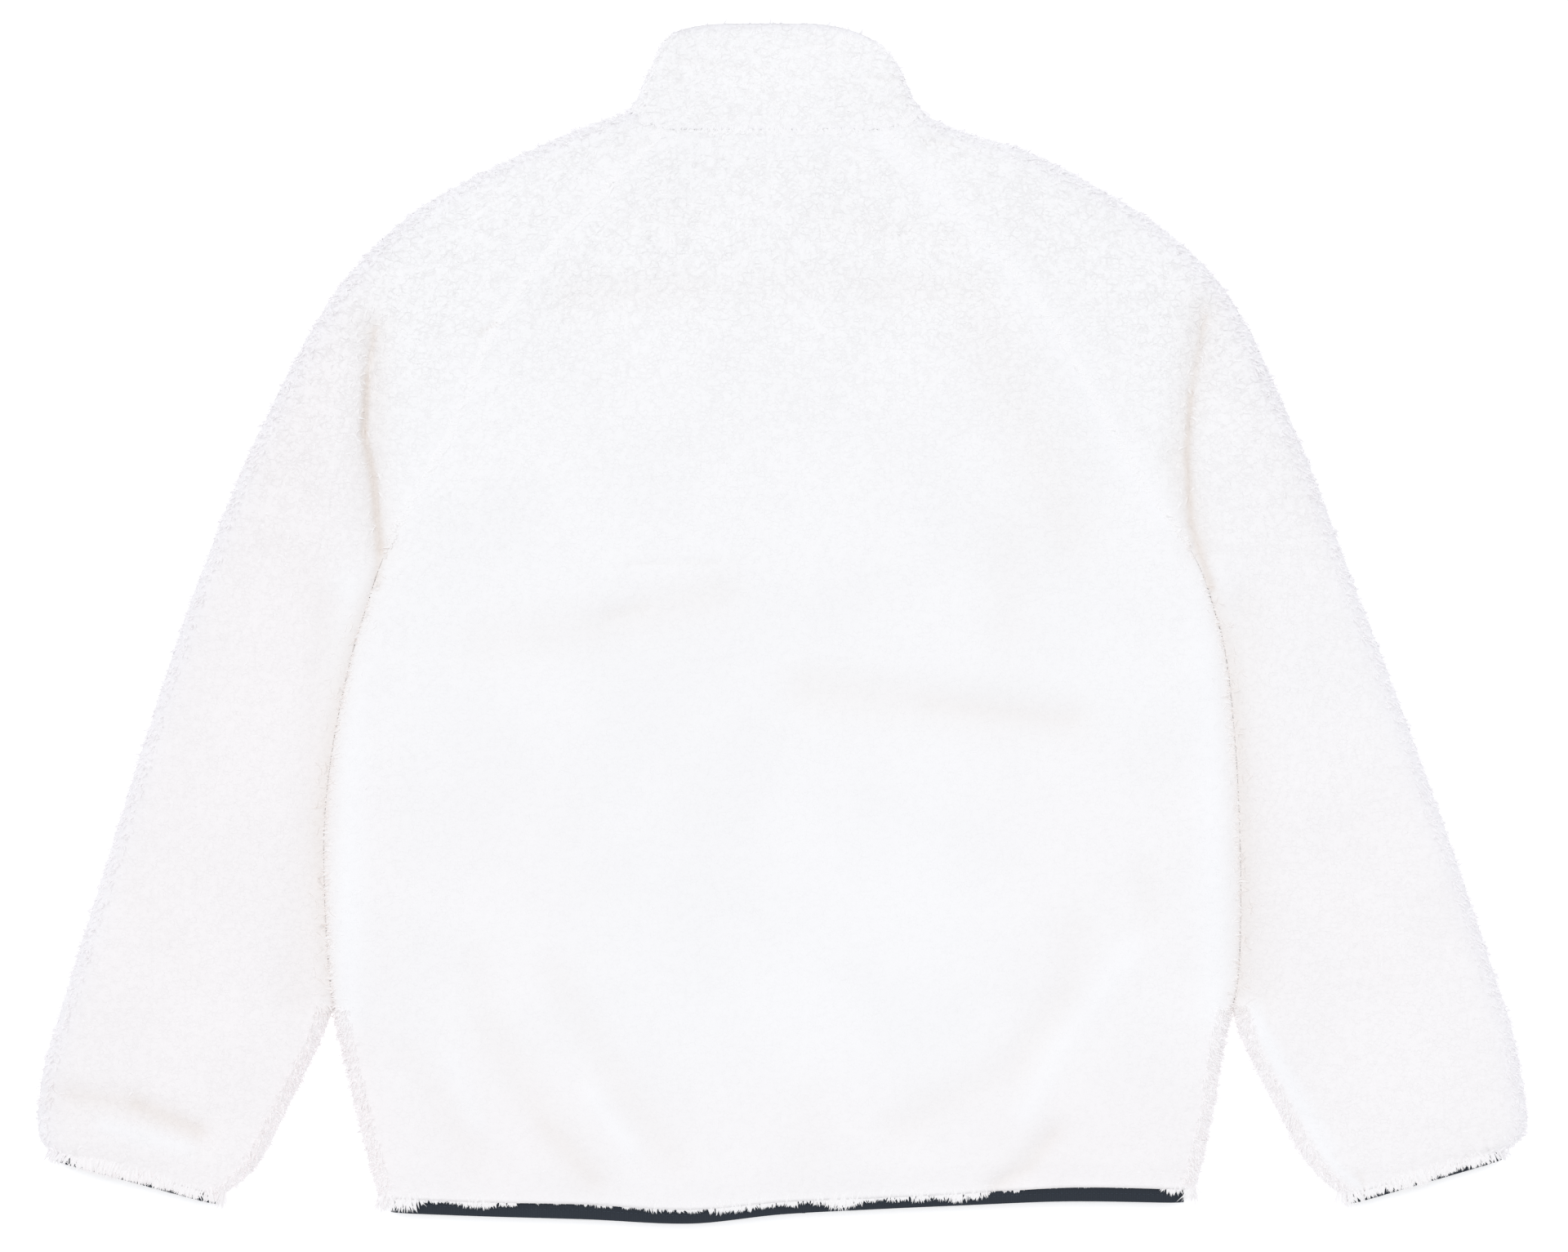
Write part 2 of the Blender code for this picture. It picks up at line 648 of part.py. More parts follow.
def circle_yz(radius, x):
    """Round outline about the hinge line, in the plane across it."""
    turns = [math.tau * index / ROUND_SIDES for index in range(ROUND_SIDES)]
    return [(x, radius * math.cos(turn), radius * math.sin(turn)) for turn in turns]


def combine(piece, tool_mesh, name, operation):
    """Joins a shape to a piece or cuts it out of it; the shape itself stays a hidden guide."""
    bmesh.ops.recalc_face_normals(tool_mesh, faces=list(tool_mesh.faces))
    data = bpy.data.meshes.new(name)
    tool_mesh.to_mesh(data)
    tool_mesh.free()
    guide = bpy.data.objects.new(name, data)
    guide.location = piece.location
    guide.hide_render = True
    guide.display_type = "WIRE"
    bpy.context.scene.collection.objects.link(guide)
    change = piece.modifiers.new(name, "BOOLEAN")
    change.object = guide
    change.operation = operation
    change.solver = "EXACT"


def build_tape(name, side):
    """Zip tape with its half of the coil, straight from the hem to the collar's front edge."""
    middle = side * SEAM_GAP / 2.0
    profile = (
        (middle, CHAIN_BASE),
        (side * CHAIN_HALF, CHAIN_BASE),
        (side * CHAIN_HALF, TAPE_BASE),
        (side * TAPE_HALF, TAPE_BASE),
        (side * TAPE_HALF, TAPE_TOP),
        (middle, TAPE_TOP),
    )
    mesh = extruded([(x, ZIP_BOTTOM, z) for x, z in profile], (0.0, ZIP_TOP - ZIP_BOTTOM, 0.0))
    return finish_piece(name, mesh, NAVY, 0.7, 0.0)


def build_slider():
    """Slider: a channel under the coil, with two ears and the pin that carries the pull tab."""
    half = SLIDER_LENGTH / 2.0
    profile = (
        (-SLIDER_HALF, SLIDER_BASE),
        (SLIDER_HALF, SLIDER_BASE),
        (SLIDER_HALF, WING_TOP),
        (WING_INSIDE, WING_TOP),
        (WING_INSIDE, SLIDER_FACE),
        (-WING_INSIDE, SLIDER_FACE),
        (-WING_INSIDE, WING_TOP),
        (-SLIDER_HALF, WING_TOP),
    )
    mesh = extruded([(x, -half, z - PIVOT[2]) for x, z in profile], (0.0, SLIDER_LENGTH, 0.0))
    slider = finish_piece("zip_slider", mesh, DARK_METAL, 0.35, 1.0)
    slider.location = [value * MM for value in PIVOT]
    plate = SLIDER_BASE - PIVOT[2] + EAR_ROOT
    for name, start in (("left_ear", -EAR_OUTSIDE), ("right_ear", EAR_INSIDE)):
        round_end = [point for point in circle_yz(EAR_RADIUS, start) if point[2] < EAR_RADIUS / 10.0]
        round_end.sort(key=lambda point: point[1])
        ear = round_end + [(start, EAR_RADIUS, plate), (start, -EAR_RADIUS, plate)]
        combine(slider, extruded(ear, (EAR_OUTSIDE - EAR_INSIDE, 0.0, 0.0)), name, "UNION")
    reach = (EAR_INSIDE + EAR_OUTSIDE) / 2.0
    pin = extruded(circle_yz(PIN_RADIUS, -reach), (2.0 * reach, 0.0, 0.0))
    combine(slider, pin, "hinge_pin", "UNION")
    return slider


def build_pull_tab():
    """Pull tab with the knuckle that turns on the slider's pin; its origin is on the hinge line."""
    shoulder = -TAB_NECK + TAB_HALF - KNUCKLE_HALF
    right_side = [(KNUCKLE_HALF, 0.0), (KNUCKLE_HALF, shoulder), (TAB_HALF, -TAB_NECK)]
    left_side = [(-x, y) for x, y in reversed(right_side)]
    end_steps = ROUND_SIDES // 2
    end_turns = [math.pi * index / end_steps for index in range(end_steps + 1)]
    end_centre = TAB_HALF - TAB_LENGTH
    round_end = [(TAB_HALF * math.cos(turn), end_centre - TAB_HALF * math.sin(turn)) for turn in end_turns]
    outline = right_side + round_end + left_side
    base = -TAB_THICK / 2.0
    mesh = extruded([(x, y, base) for x, y in outline], (0.0, 0.0, TAB_THICK))
    tab = finish_piece("zip_pull_tab", mesh, DARK_METAL, 0.35, 1.0)
    tab.location = [value * MM for value in PIVOT]
    width = (2.0 * KNUCKLE_HALF, 0.0, 0.0)
    combine(tab, extruded(circle_yz(KNUCKLE_RADIUS, -KNUCKLE_HALF), width), "knuckle", "UNION")
    bore_half = KNUCKLE_HALF + 1.0
    bore = extruded(circle_yz(BORE_RADIUS, -bore_half), (2.0 * bore_half, 0.0, 0.0))
    combine(tab, bore, "knuckle_bore", "DIFFERENCE")
    slot_end = TAB_LENGTH - TAB_HALF
    slot = (
        (-SLOT_HALF, -slot_end, -TAB_THICK),
        (SLOT_HALF, -slot_end, -TAB_THICK),
        (SLOT_HALF, -slot_end + SLOT_LENGTH, -TAB_THICK),
        (-SLOT_HALF, -slot_end + SLOT_LENGTH, -TAB_THICK),
    )
    combine(tab, extruded(slot, (0.0, 0.0, 2.0 * TAB_THICK)), "tab_slot", "DIFFERENCE")
    return tab


def build_stop():
    """Bottom stop of the zip, a plate under the end of the coil."""
    outline = (
        (-STOP_HALF, ZIP_BOTTOM, STOP_BASE),
        (STOP_HALF, ZIP_BOTTOM, STOP_BASE),
        (STOP_HALF, ZIP_BOTTOM + STOP_LENGTH, STOP_BASE),
        (-STOP_HALF, ZIP_BOTTOM + STOP_LENGTH, STOP_BASE),
    )
    mesh = extruded(outline, (0.0, 0.0, SLIDER_FACE - STOP_BASE))
    return finish_piece("zip_stop", mesh, DARK_METAL, 0.35, 1.0)


def build_jacket():
    body_keys = piece_keys(HEM_KEY)
    sleeve_keys = piece_keys(CUFF_KEY)
    back = [back_section(key) for key in body_keys]
    front_left = [front_section(key, -1) for key in body_keys]
    front_right = [front_section(key, 1) for key in body_keys]
    sleeve_left = [sleeve_section(key, -1, LEFT_SLEEVE) for key in sleeve_keys]
    sleeve_right = [sleeve_section(key, 1, RIGHT_SLEEVE) for key in sleeve_keys]
    make_wall("back", back, FLEECE)
    make_wall("front_left", front_left, FLEECE)
    make_wall("front_right", front_right, FLEECE)
    make_wall("sleeve_left", sleeve_left, FLEECE)
    make_wall("sleeve_right", sleeve_right, FLEECE)
    fronts = {-1: front_left[-1], 1: front_right[-1]}
    sleeves = {-1: sleeve_left[-1], 1: sleeve_right[-1]}
    build_collar(neck_row(fronts, back[-1], sleeves))
    build_hem_band(front_left[0], back[0], front_right[0])
    build_cuff_band("cuff_binding_left", sleeve_left[0], -1)
    build_cuff_band("cuff_binding_right", sleeve_right[0], 1)
    build_tape("zip_tape_left", -1)
    build_tape("zip_tape_right", 1)
    build_slider()
    build_pull_tab()
    build_stop()


for old in list(bpy.data.objects):
    bpy.data.objects.remove(old, do_unlink=True)

build_jacket()
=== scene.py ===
# Pile fleece jacket with raglan sleeves, laid flat with its back up. The tables are in millimetres.
import math

import bmesh
import bpy
import numpy as np
from mathutils import Matrix, Vector, noise


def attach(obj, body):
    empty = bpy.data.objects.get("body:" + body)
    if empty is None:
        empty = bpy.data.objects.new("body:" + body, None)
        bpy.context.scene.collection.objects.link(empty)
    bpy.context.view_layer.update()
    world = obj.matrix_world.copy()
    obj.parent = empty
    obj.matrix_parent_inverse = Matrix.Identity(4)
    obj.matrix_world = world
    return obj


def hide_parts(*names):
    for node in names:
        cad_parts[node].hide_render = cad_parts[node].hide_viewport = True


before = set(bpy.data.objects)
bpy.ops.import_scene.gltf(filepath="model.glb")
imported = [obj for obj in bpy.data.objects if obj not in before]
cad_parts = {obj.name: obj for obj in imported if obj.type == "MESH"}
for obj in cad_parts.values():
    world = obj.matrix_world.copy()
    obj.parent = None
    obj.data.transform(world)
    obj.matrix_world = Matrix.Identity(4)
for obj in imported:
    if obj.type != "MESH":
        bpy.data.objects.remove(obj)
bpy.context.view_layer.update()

mm = 0.001
print("stage 1: frame loaded")

cloth = {
    "seamGap": 0.08,         # left open between two sewn edges
    "frontWall": 6.0,        # lower layer
    "zipWall": 4.6,          # lower layer beside the zip
    "loft": 17.0,            # top of the upper layer
    "foldLine": 9.0,         # height of the outline, where both layers meet
    "airLeast": 1.0,
    "airMost": 3.6,
    "loftLeast": 12.0,
    "airPerLoft": 0.65,
    "upperReach": 16.0,      # width of a rounded edge above
    "lowerReach": 11.0,      # and below
    "edgeWall": 6.5,
    "hemKey": -374.0,
    "neckKey": 321.0,
    "cuffKey": -372.0,
    "hemFade": 70.0,
    "armpitTop": 62.0,
    "armpitBase": 12.0,
    "hemEase": 3.0,
    "easeLength": 22.0,
    "touchLine": 14.4,       # height of the outline where body and sleeve lie against each other
    "touchTop": 80.0,
    "touchBase": -264.0,
    "touchFade": 30.0,
    "zipBeside": 17.5,       # half of the middle that the zip keeps straight
    "zipFade": 9.0,
    "seamRimShade": 0.35,         # share of the painted edge shade that stays beside a seam
}

# height, left edge, right edge of the back
sideEdges = np.array([
    (-374, -262, 269), (-350, -269, 275), (-310, -279, 282), (-265, -288.5, 289), (-231, -293.5, 296),
    (-178, -297, 298), (-125, -297, 297), (-72, -290.5, 294), (-19, -279, 288), (12, -269.5, 280),
    (40, -260.5, 270), (66, -248, 254), (94, -231.5, 233), (127, -214, 214), (160, -201, 197),
    (190, -187, 179), (220, -168, 158), (250, -144, 131), (279, -117, 103), (304, -92, 80),
    (321, -78, 67),
])
# height of the inner end, own inner edge, outline x, outline y
leftSleeve = np.array([
    (-372, -365, -473, -343), (-361, -350, -482, -337), (-345, -337, -484.5, -327),
    (-321, -325, -484, -312), (-291, -310, -480.5, -287), (-262, -296.5, -472.5, -260),
    (-231, -288, -463.5, -231), (-178, -282, -447, -178), (-125, -278, -430.5, -125),
    (-72, -274, -414.5, -74), (-19, -268, -397.5, -22), (12, -262, -387, 10), (40, -255, -375.5, 40),
    (66, -240, -363.5, 72), (94, -220, -348.5, 108), (127, -205, -330, 147), (160, -190, -308, 189),
    (190, -175, -283, 227), (220, -155, -248, 262), (250, -130, -211, 286), (279, -105, -168, 307),
    (304, -80, -126, 325), (321, -60, -99.5, 333),
])
rightSleeve = np.array([
    (-372, 366, 469, -342), (-361, 351, 480, -336), (-345, 338, 485, -327), (-321, 325, 484.5, -312),
    (-291, 309, 480.5, -288), (-262, 296, 474.5, -260), (-231, 290, 465, -231), (-178, 284, 447.5, -178),
    (-125, 280, 429, -125), (-72, 276, 410.5, -74), (-19, 270, 391, -22), (12, 264, 379, 9),
    (40, 256, 368, 38), (66, 242, 355.5, 72), (94, 222, 341, 110), (127, 205, 323, 151),
    (160, 188, 304, 192), (190, 170, 281, 227), (220, 148, 246, 259), (250, 120, 206, 284),
    (279, 92, 160, 308), (304, 68, 118, 320.5), (321, 50, 93.5, 331.5),
])
# place across, end of the fleece, lower edge of the binding
hemLine = np.array([
    (-262, -373, -383), (-200, -375.5, -385.3), (-130, -377, -387.3), (-60, -380.5, -390),
    (0, -375.5, -384), (60, -373, -380.8), (120, -370, -378.2), (190, -366, -375.6),
    (269, -367.5, -376.6),
])
# start x, y, end x, y, half width, height: the folds that the solids have too
armpitFolds = (
    (-261, 50, -268, 108, 11, -4.5), (-268, 108, -266, 192, 11, -4.5), (271, 50, 259, 108, 11, -4.5),
    (259, 108, 274, 203, 11, -4),
)
broadFolds = (
    (-137, 213, -57, 218, 13, -1.7), (-57, 218, 65, 222, 12, -0.9), (65, 219, 128, 214, 13, -1.8),
    (-192, -12, -125, -3, 19, -1.7), (-125, -3, -41, 20, 15, -2.2), (18, -42, 187, -63, 17, -2.8),
    (132, 190, 168, 110, 20, -1.6), (168, 110, 186, 60, 22, -2), (150, 60, 146, -2, 18, -1.4),
    (-198, -218, -190, -262, 12, -1.3), (-190, -262, -160, -312, 13, -2.2),
    (-160, -312, -122, -362, 13, -2.4), (-147, -226, -111, -288, 12, -1.7),
    (-111, -288, -70, -350, 12, -1.9), (-123, -306, -98, -340, 7, 1.2),
    (-243, -280, -198, -353, 10, -1.3), (-214, -284, -198, -322, 7, 0.8),
    (191, -200, 184, -242, 13, -1.6), (184, -242, 152, -287, 13, -2.2), (152, -287, 78, -326, 13, -1.7),
    (178, -330, 140, -366, 9, -2.4), (226, -214, 180, -274, 10, 1.3), (180, -274, 158, -318, 9, 1.2),
    (236, -160, 240, -192, 10, -1.2), (32, 263, 119, 248, 10, -0.9), (-99, 259, -54, 267, 10, -0.7),
    (22, -306, 16, -352, 12, -0.8), (-470, -305, -420, -312, 12, -2.2),
    (-420, -312, -380, -329, 12, -2.8), (-438, -326, -386, -339, 7, 1.2), (-279, 20, -283, -250, 15, 1.6),
    (276, 20, 283, -250, 15, 1.6), (-292, 10, -312, -240, 14, -2.6), (300, 10, 312, -240, 14, -2.6),
)
folds = armpitFolds + broadFolds
# finer creases of the upper layer, laid over those
creases = (
    (-265, 192, -270, 160, 3.2, -2), (-270, 160, -272, 124, 3.2, -2.8), (-272, 124, -266, 96, 3.2, -2.8),
    (-266, 96, -261.5, 48, 3.6, -2.8), (-261.5, 48, -263, 24, 3.6, -2), (275, 200, 266, 150, 3.4, -1.8),
    (266, 150, 263.5, 112, 3.4, -2.4), (263.5, 112, 266, 66, 3.6, -2.4), (266, 66, 279, 24, 4, -2.2),
    (-99, 39, -41, 40, 2.6, -0.8), (-60, 42, -48, 37, 2, -0.7), (-197, 189, -186, 195, 2.2, -1.6),
    (-112, 6, -90, 11, 6, -0.9), (96, -52, 187, -62, 8, -0.9), (-66, 366, -10, 360, 3, -0.8),
    (15, 377, 44, 375, 2.4, -0.7), (54, 356, 79, 352, 2.6, -0.8), (-50, 365, -52, 330, 2.4, -0.7),
    (-22, 352, 12, 343, 3, -0.6), (62, 334, 80, 344, 2.6, -0.8), (-78, 344, -64, 352, 2.6, -0.7),
    (44, 312, 51, 304, 2.4, -0.9), (93, 313, 113, 312, 2.4, -1), (-115, 311, -84, 311, 2.4, -0.8),
    (-330, 60, -300, 20, 12, -0.6), (-360, 118, -322, 92, 10, -0.6), (330, 110, 352, 40, 12, -0.6),
    (-420, -170, -380, -230, 16, -0.6), (360, -180, 400, -240, 16, -0.6),
    (-210, -330, -176, -352, 6, -0.6), (-155, -326, -123, -360, 9, -1.1), (177, -332, 161, -353, 6, -1.2),
    (161, -353, 139, -365, 6, -1.2), (-462, -306, -420, -312, 7, -1.3), (-420, -312, -380, -329, 8, -1.8),
    (375, -357, 379, -368, 3, -1.3), (346, -262, 372, -284, 6, -0.6), (303, -249, 335, -300, 4, 0.9),
    (335, -300, 358, -340, 4, 0.9),
)


def smoothStep(value):
    value = np.clip(value, 0.0, 1.0)
    return value * value * (3.0 - 2.0 * value)


def mix(first, last, share):
    return first + (last - first) * share


def readTable(table, key, column):     # smooth curve through one column of a table
    keys = table[:, 0]
    index = np.clip(np.searchsorted(keys, key) - 1, 0, len(keys) - 2)
    before = np.maximum(index - 1, 0)
    after = np.minimum(index + 2, len(keys) - 1)
    span = keys[index + 1] - keys[index]
    share = (key - keys[index]) / span
    low, high = table[index, column], table[index + 1, column]
    slopeLow = (high - table[before, column]) / (keys[index + 1] - keys[before]) * span
    slopeHigh = (table[after, column] - low) / (keys[after] - keys[index]) * span
    square, cube = share ** 2, share ** 3
    value = (2 * cube - 3 * square + 1) * low + (cube - 2 * square + share) * slopeLow
    return value + (3 * square - 2 * cube) * high + (cube - square) * slopeHigh


def foldSum(rows, x, y):     # soft bells across the folds; rows that meet run into each other
    dips, ridges = np.zeros_like(x), np.zeros_like(x)
    for x1, y1, x2, y2, halfWidth, height in rows:
        runX, runY = x2 - x1, y2 - y1
        share = np.clip(((x - x1) * runX + (y - y1) * runY) / (runX ** 2 + runY ** 2), 0.0, 1.0)
        away = (x - x1 - share * runX) ** 2 + (y - y1 - share * runY) ** 2
        bell = (abs(height) * np.exp(-away / halfWidth ** 2)) ** 4
        if height < 0.0:
            dips += bell
        else:
            ridges += bell
    return ridges ** 0.25 - dips ** 0.25


def lowerWall(x):
    share = smoothStep((np.abs(x) - cloth["zipBeside"]) / cloth["zipFade"])
    return mix(cloth["zipWall"], cloth["frontWall"], share)


def touching(y):     # 1 where the sleeve lies against the body
    above = smoothStep((cloth["touchTop"] - y) / cloth["touchFade"])
    return above * smoothStep((y - cloth["touchBase"]) / cloth["touchFade"])


def upperPlace(outer, fold, rise, ease, gap):     # rise is 0 on the outline, 1 where it lies flat
    loft = cloth["loft"] + foldSum(folds, outer[0], outer[1]) - ease
    air = cloth["airLeast"] + cloth["airPerLoft"] * (loft - cloth["loftLeast"])
    under = cloth["frontWall"] + np.clip(air, cloth["airLeast"], cloth["airMost"])
    top = loft + foldSum(creases, outer[0], outer[1])
    return mix(fold + gap, top, rise), mix(fold + gap, under, rise)


def lowerPlace(inner, fold, rise, gap):
    return mix(fold - gap, 0.0, rise), mix(fold - gap, lowerWall(inner[0]), rise)


def joinPlace(outer, inner, rise, upper, ease, gap, touch):
    fold = mix(cloth["foldLine"], cloth["touchLine"], touch)
    topOuter, topInner = upperPlace(outer, fold, rise, ease, gap)
    lowOuter, lowInner = lowerPlace(inner, fold, rise, gap)
    outerZ = np.where(upper, topOuter, lowOuter)
    innerZ = np.where(upper, topInner, lowInner)
    return {
        "outer": np.stack([outer[0], outer[1], outerZ], 1),
        "inner": np.stack([inner[0], inner[1], innerZ], 1),
        "rise": rise,
        "upper": upper,
        # rim: painted shade on the rounded edges, none where body and sleeve touch
        "rim": (1.0 - rise) * (1.0 - touch),
        # warm painted shade in the valley where the sleeve lies against the body
        "valleyShade": np.clip(1.0 - rise, 0.0, 1.0) * touch,
    }


def rollInsets(turn, reach, roll):     # turn runs from 0 at the edge to 1 where the layer lies flat
    cosine, sine = np.cos(turn * math.pi / 2), np.sin(turn * math.pi / 2)
    outer = reach * (1.0 - cosine)
    inner = cloth["edgeWall"] + (reach - cloth["edgeWall"]) * (1.0 - cosine)
    return outer, mix(outer, inner, roll), 1.0 - roll * (1.0 - sine)


def rollAt(key):
    return smoothStep((cloth["armpitTop"] - key) / (cloth["armpitTop"] - cloth["armpitBase"]))


def sideX(key, side):
    return readTable(sideEdges, key, 1 if side < 0 else 2)


def hemShift(x, key):
    fade = smoothStep((cloth["hemKey"] + cloth["hemFade"] - key) / cloth["hemFade"])
    return (readTable(hemLine, x, 1) - cloth["hemKey"]) * fade


def hemEase(key):
    return cloth["hemEase"] * smoothStep((cloth["hemKey"] + cloth["easeLength"] - key) / cloth["easeLength"])


def frontDrop(key):
    return smoothStep((key - cloth["armpitTop"]) / (cloth["neckKey"] - cloth["armpitTop"]))


def zoneOf(across, marks):     # which stretch of a section, and how far along it
    marks = np.array(marks)
    index = np.clip(np.searchsorted(marks, across, side="right") - 1, 0, len(marks) - 2)
    return index, (across - marks[index]) / (marks[index + 1] - marks[index])


back = {
    "columns": 248,
    "rows": 296,
    "rollShare": 9 / 248,    # share of the columns that each rounded edge takes
    "seamWidth": (9.0, 12.0),     # of the painted highlight band along the seams, left and right
    "seamHighlight": (0.5, 0.95),
    "neckBand": (310.0, 8.0, 0.4),     # height, half width and strength of a painted highlight band below the collar
    "flat": (0.600, 0.702),
    "area": 0.3510,
}


def backPlace(across, along):
    key = mix(cloth["hemKey"], cloth["neckKey"], along)
    left, right, roll = sideX(key, -1), sideX(key, 1), rollAt(key)
    share, reach = back["rollShare"], cloth["upperReach"]
    turn = np.clip(np.minimum(across, 1.0 - across) / share, 0.0, 1.0)
    outer, inner, rise = rollInsets(turn, reach, roll)
    flatX = mix(left + reach, right - reach, np.clip((across - share) / (1.0 - 2.0 * share), 0.0, 1.0))
    onLeft = across < 0.5
    outerX = np.where(turn < 1.0, np.where(onLeft, left + outer, right - outer), flatX)
    innerX = np.where(turn < 1.0, np.where(onLeft, left + inner, right - inner), flatX)
    outerSpot = (outerX, key + hemShift(outerX, key))
    innerSpot = (innerX, key + hemShift(innerX, key))
    gap, touch = cloth["seamGap"] / 2.0 * roll, touching(key) * roll
    found = joinPlace(outerSpot, innerSpot, rise, across >= 0.0, hemEase(key), gap, touch)
    nearest = np.minimum(outerX - left, right - outerX)
    onSide = (outerX > 0.0).astype(int)
    width, strength = np.array(back["seamWidth"])[onSide], np.array(back["seamHighlight"])[onSide]
    bandKey, bandWidth, bandHighlight = back["neckBand"]
    # seam: the band beside a seam, where the pile is calmer, with a painted highlight on it
    found["seam"] = strength * np.exp(-(nearest / width) ** 2) * (1.0 - roll)
    found["seam"] += bandHighlight * np.exp(-((key - bandKey) / bandWidth) ** 2)
    # less painted edge shade on the back's sides, beside the seams
    found["rim"] = found["rim"] * cloth["seamRimShade"]
    return found


fronts = {
    "columns": 72,
    "rows": 160,
    "rollShare": 6 / 72,
    "zipHalf": 6.5,
    "neckDip": 35.0,
    "neckFade": 130.0,
    "drop": 18.0,
    "setOut": 6.0,
    "seamWidth": 6.0,
    "flat": (0.295, 0.682),
    "area": 0.1665,
}


def frontPlace(side):
    def place(across, along):     # across runs from the zip to the side edge
        key = mix(cloth["hemKey"], cloth["neckKey"], along)
        drop, roll = frontDrop(key), rollAt(key)
        edge = sideX(key, side) + side * fronts["setOut"] * drop
        share, reach = fronts["rollShare"], cloth["lowerReach"]
        turn = np.clip((1.0 - across) / share, 0.0, 1.0)
        outer, inner, rise = rollInsets(turn, reach, roll)
        level = np.clip(across / (1.0 - share), 0.0, 1.0)
        flatX = mix(side * fronts["zipHalf"], edge - side * reach, level)
        fade = smoothStep((key - cloth["neckKey"] + fronts["neckFade"]) / fronts["neckFade"])
        spots = []
        for inset in (outer, inner):
            x = np.where(turn < 1.0, edge - side * inset, flatX)
            dip = fronts["neckDip"] * fade * np.cos(math.pi / 2.0 * x / edge)
            spots.append((x, key - fronts["drop"] * drop - dip + hemShift(x, key)))
        gap = cloth["seamGap"] / 2.0 * roll
        found = joinPlace(spots[0], spots[1], rise, across < 0.0, 0.0, gap, touching(key) * roll)
        found["seam"] = np.exp(-((edge - spots[0][0]) / fronts["seamWidth"]) ** 2) * (1.0 - roll)
        return found
    return place


sleeves = {
    "columns": 136,
    "rows": 312,
    # seam, upper layer, fold above, fold below, lower layer, seam
    "marks": (0.0, 8 / 136, 83 / 136, 90 / 136, 96 / 136, 130 / 136, 1.0),
    "flat": (0.290, 0.800),
    "area": 0.1840,
    "most": 0.42,            # of the width, for a rounded edge
    "seamWidth": 9.0,
    "seamHighlight": 0.55,        # painted highlight along the seam, and so much more on the right, less on the left
    "highlightBySide": 0.25,
    "foldRimShade": (0.8, 10.0),     # strength and width of the painted shade at the outer fold
    # width of the painted shade in the valley beside the body
    "valleyWidth": 8.0,
    "underarmSeam": 15.0,    # from the edge in to the seam whose painted highlight shows near the right cuff
    "underarmKey": -238.0,
    "underarmFade": 14.0,
    "underarmWidth": 4.0,
}


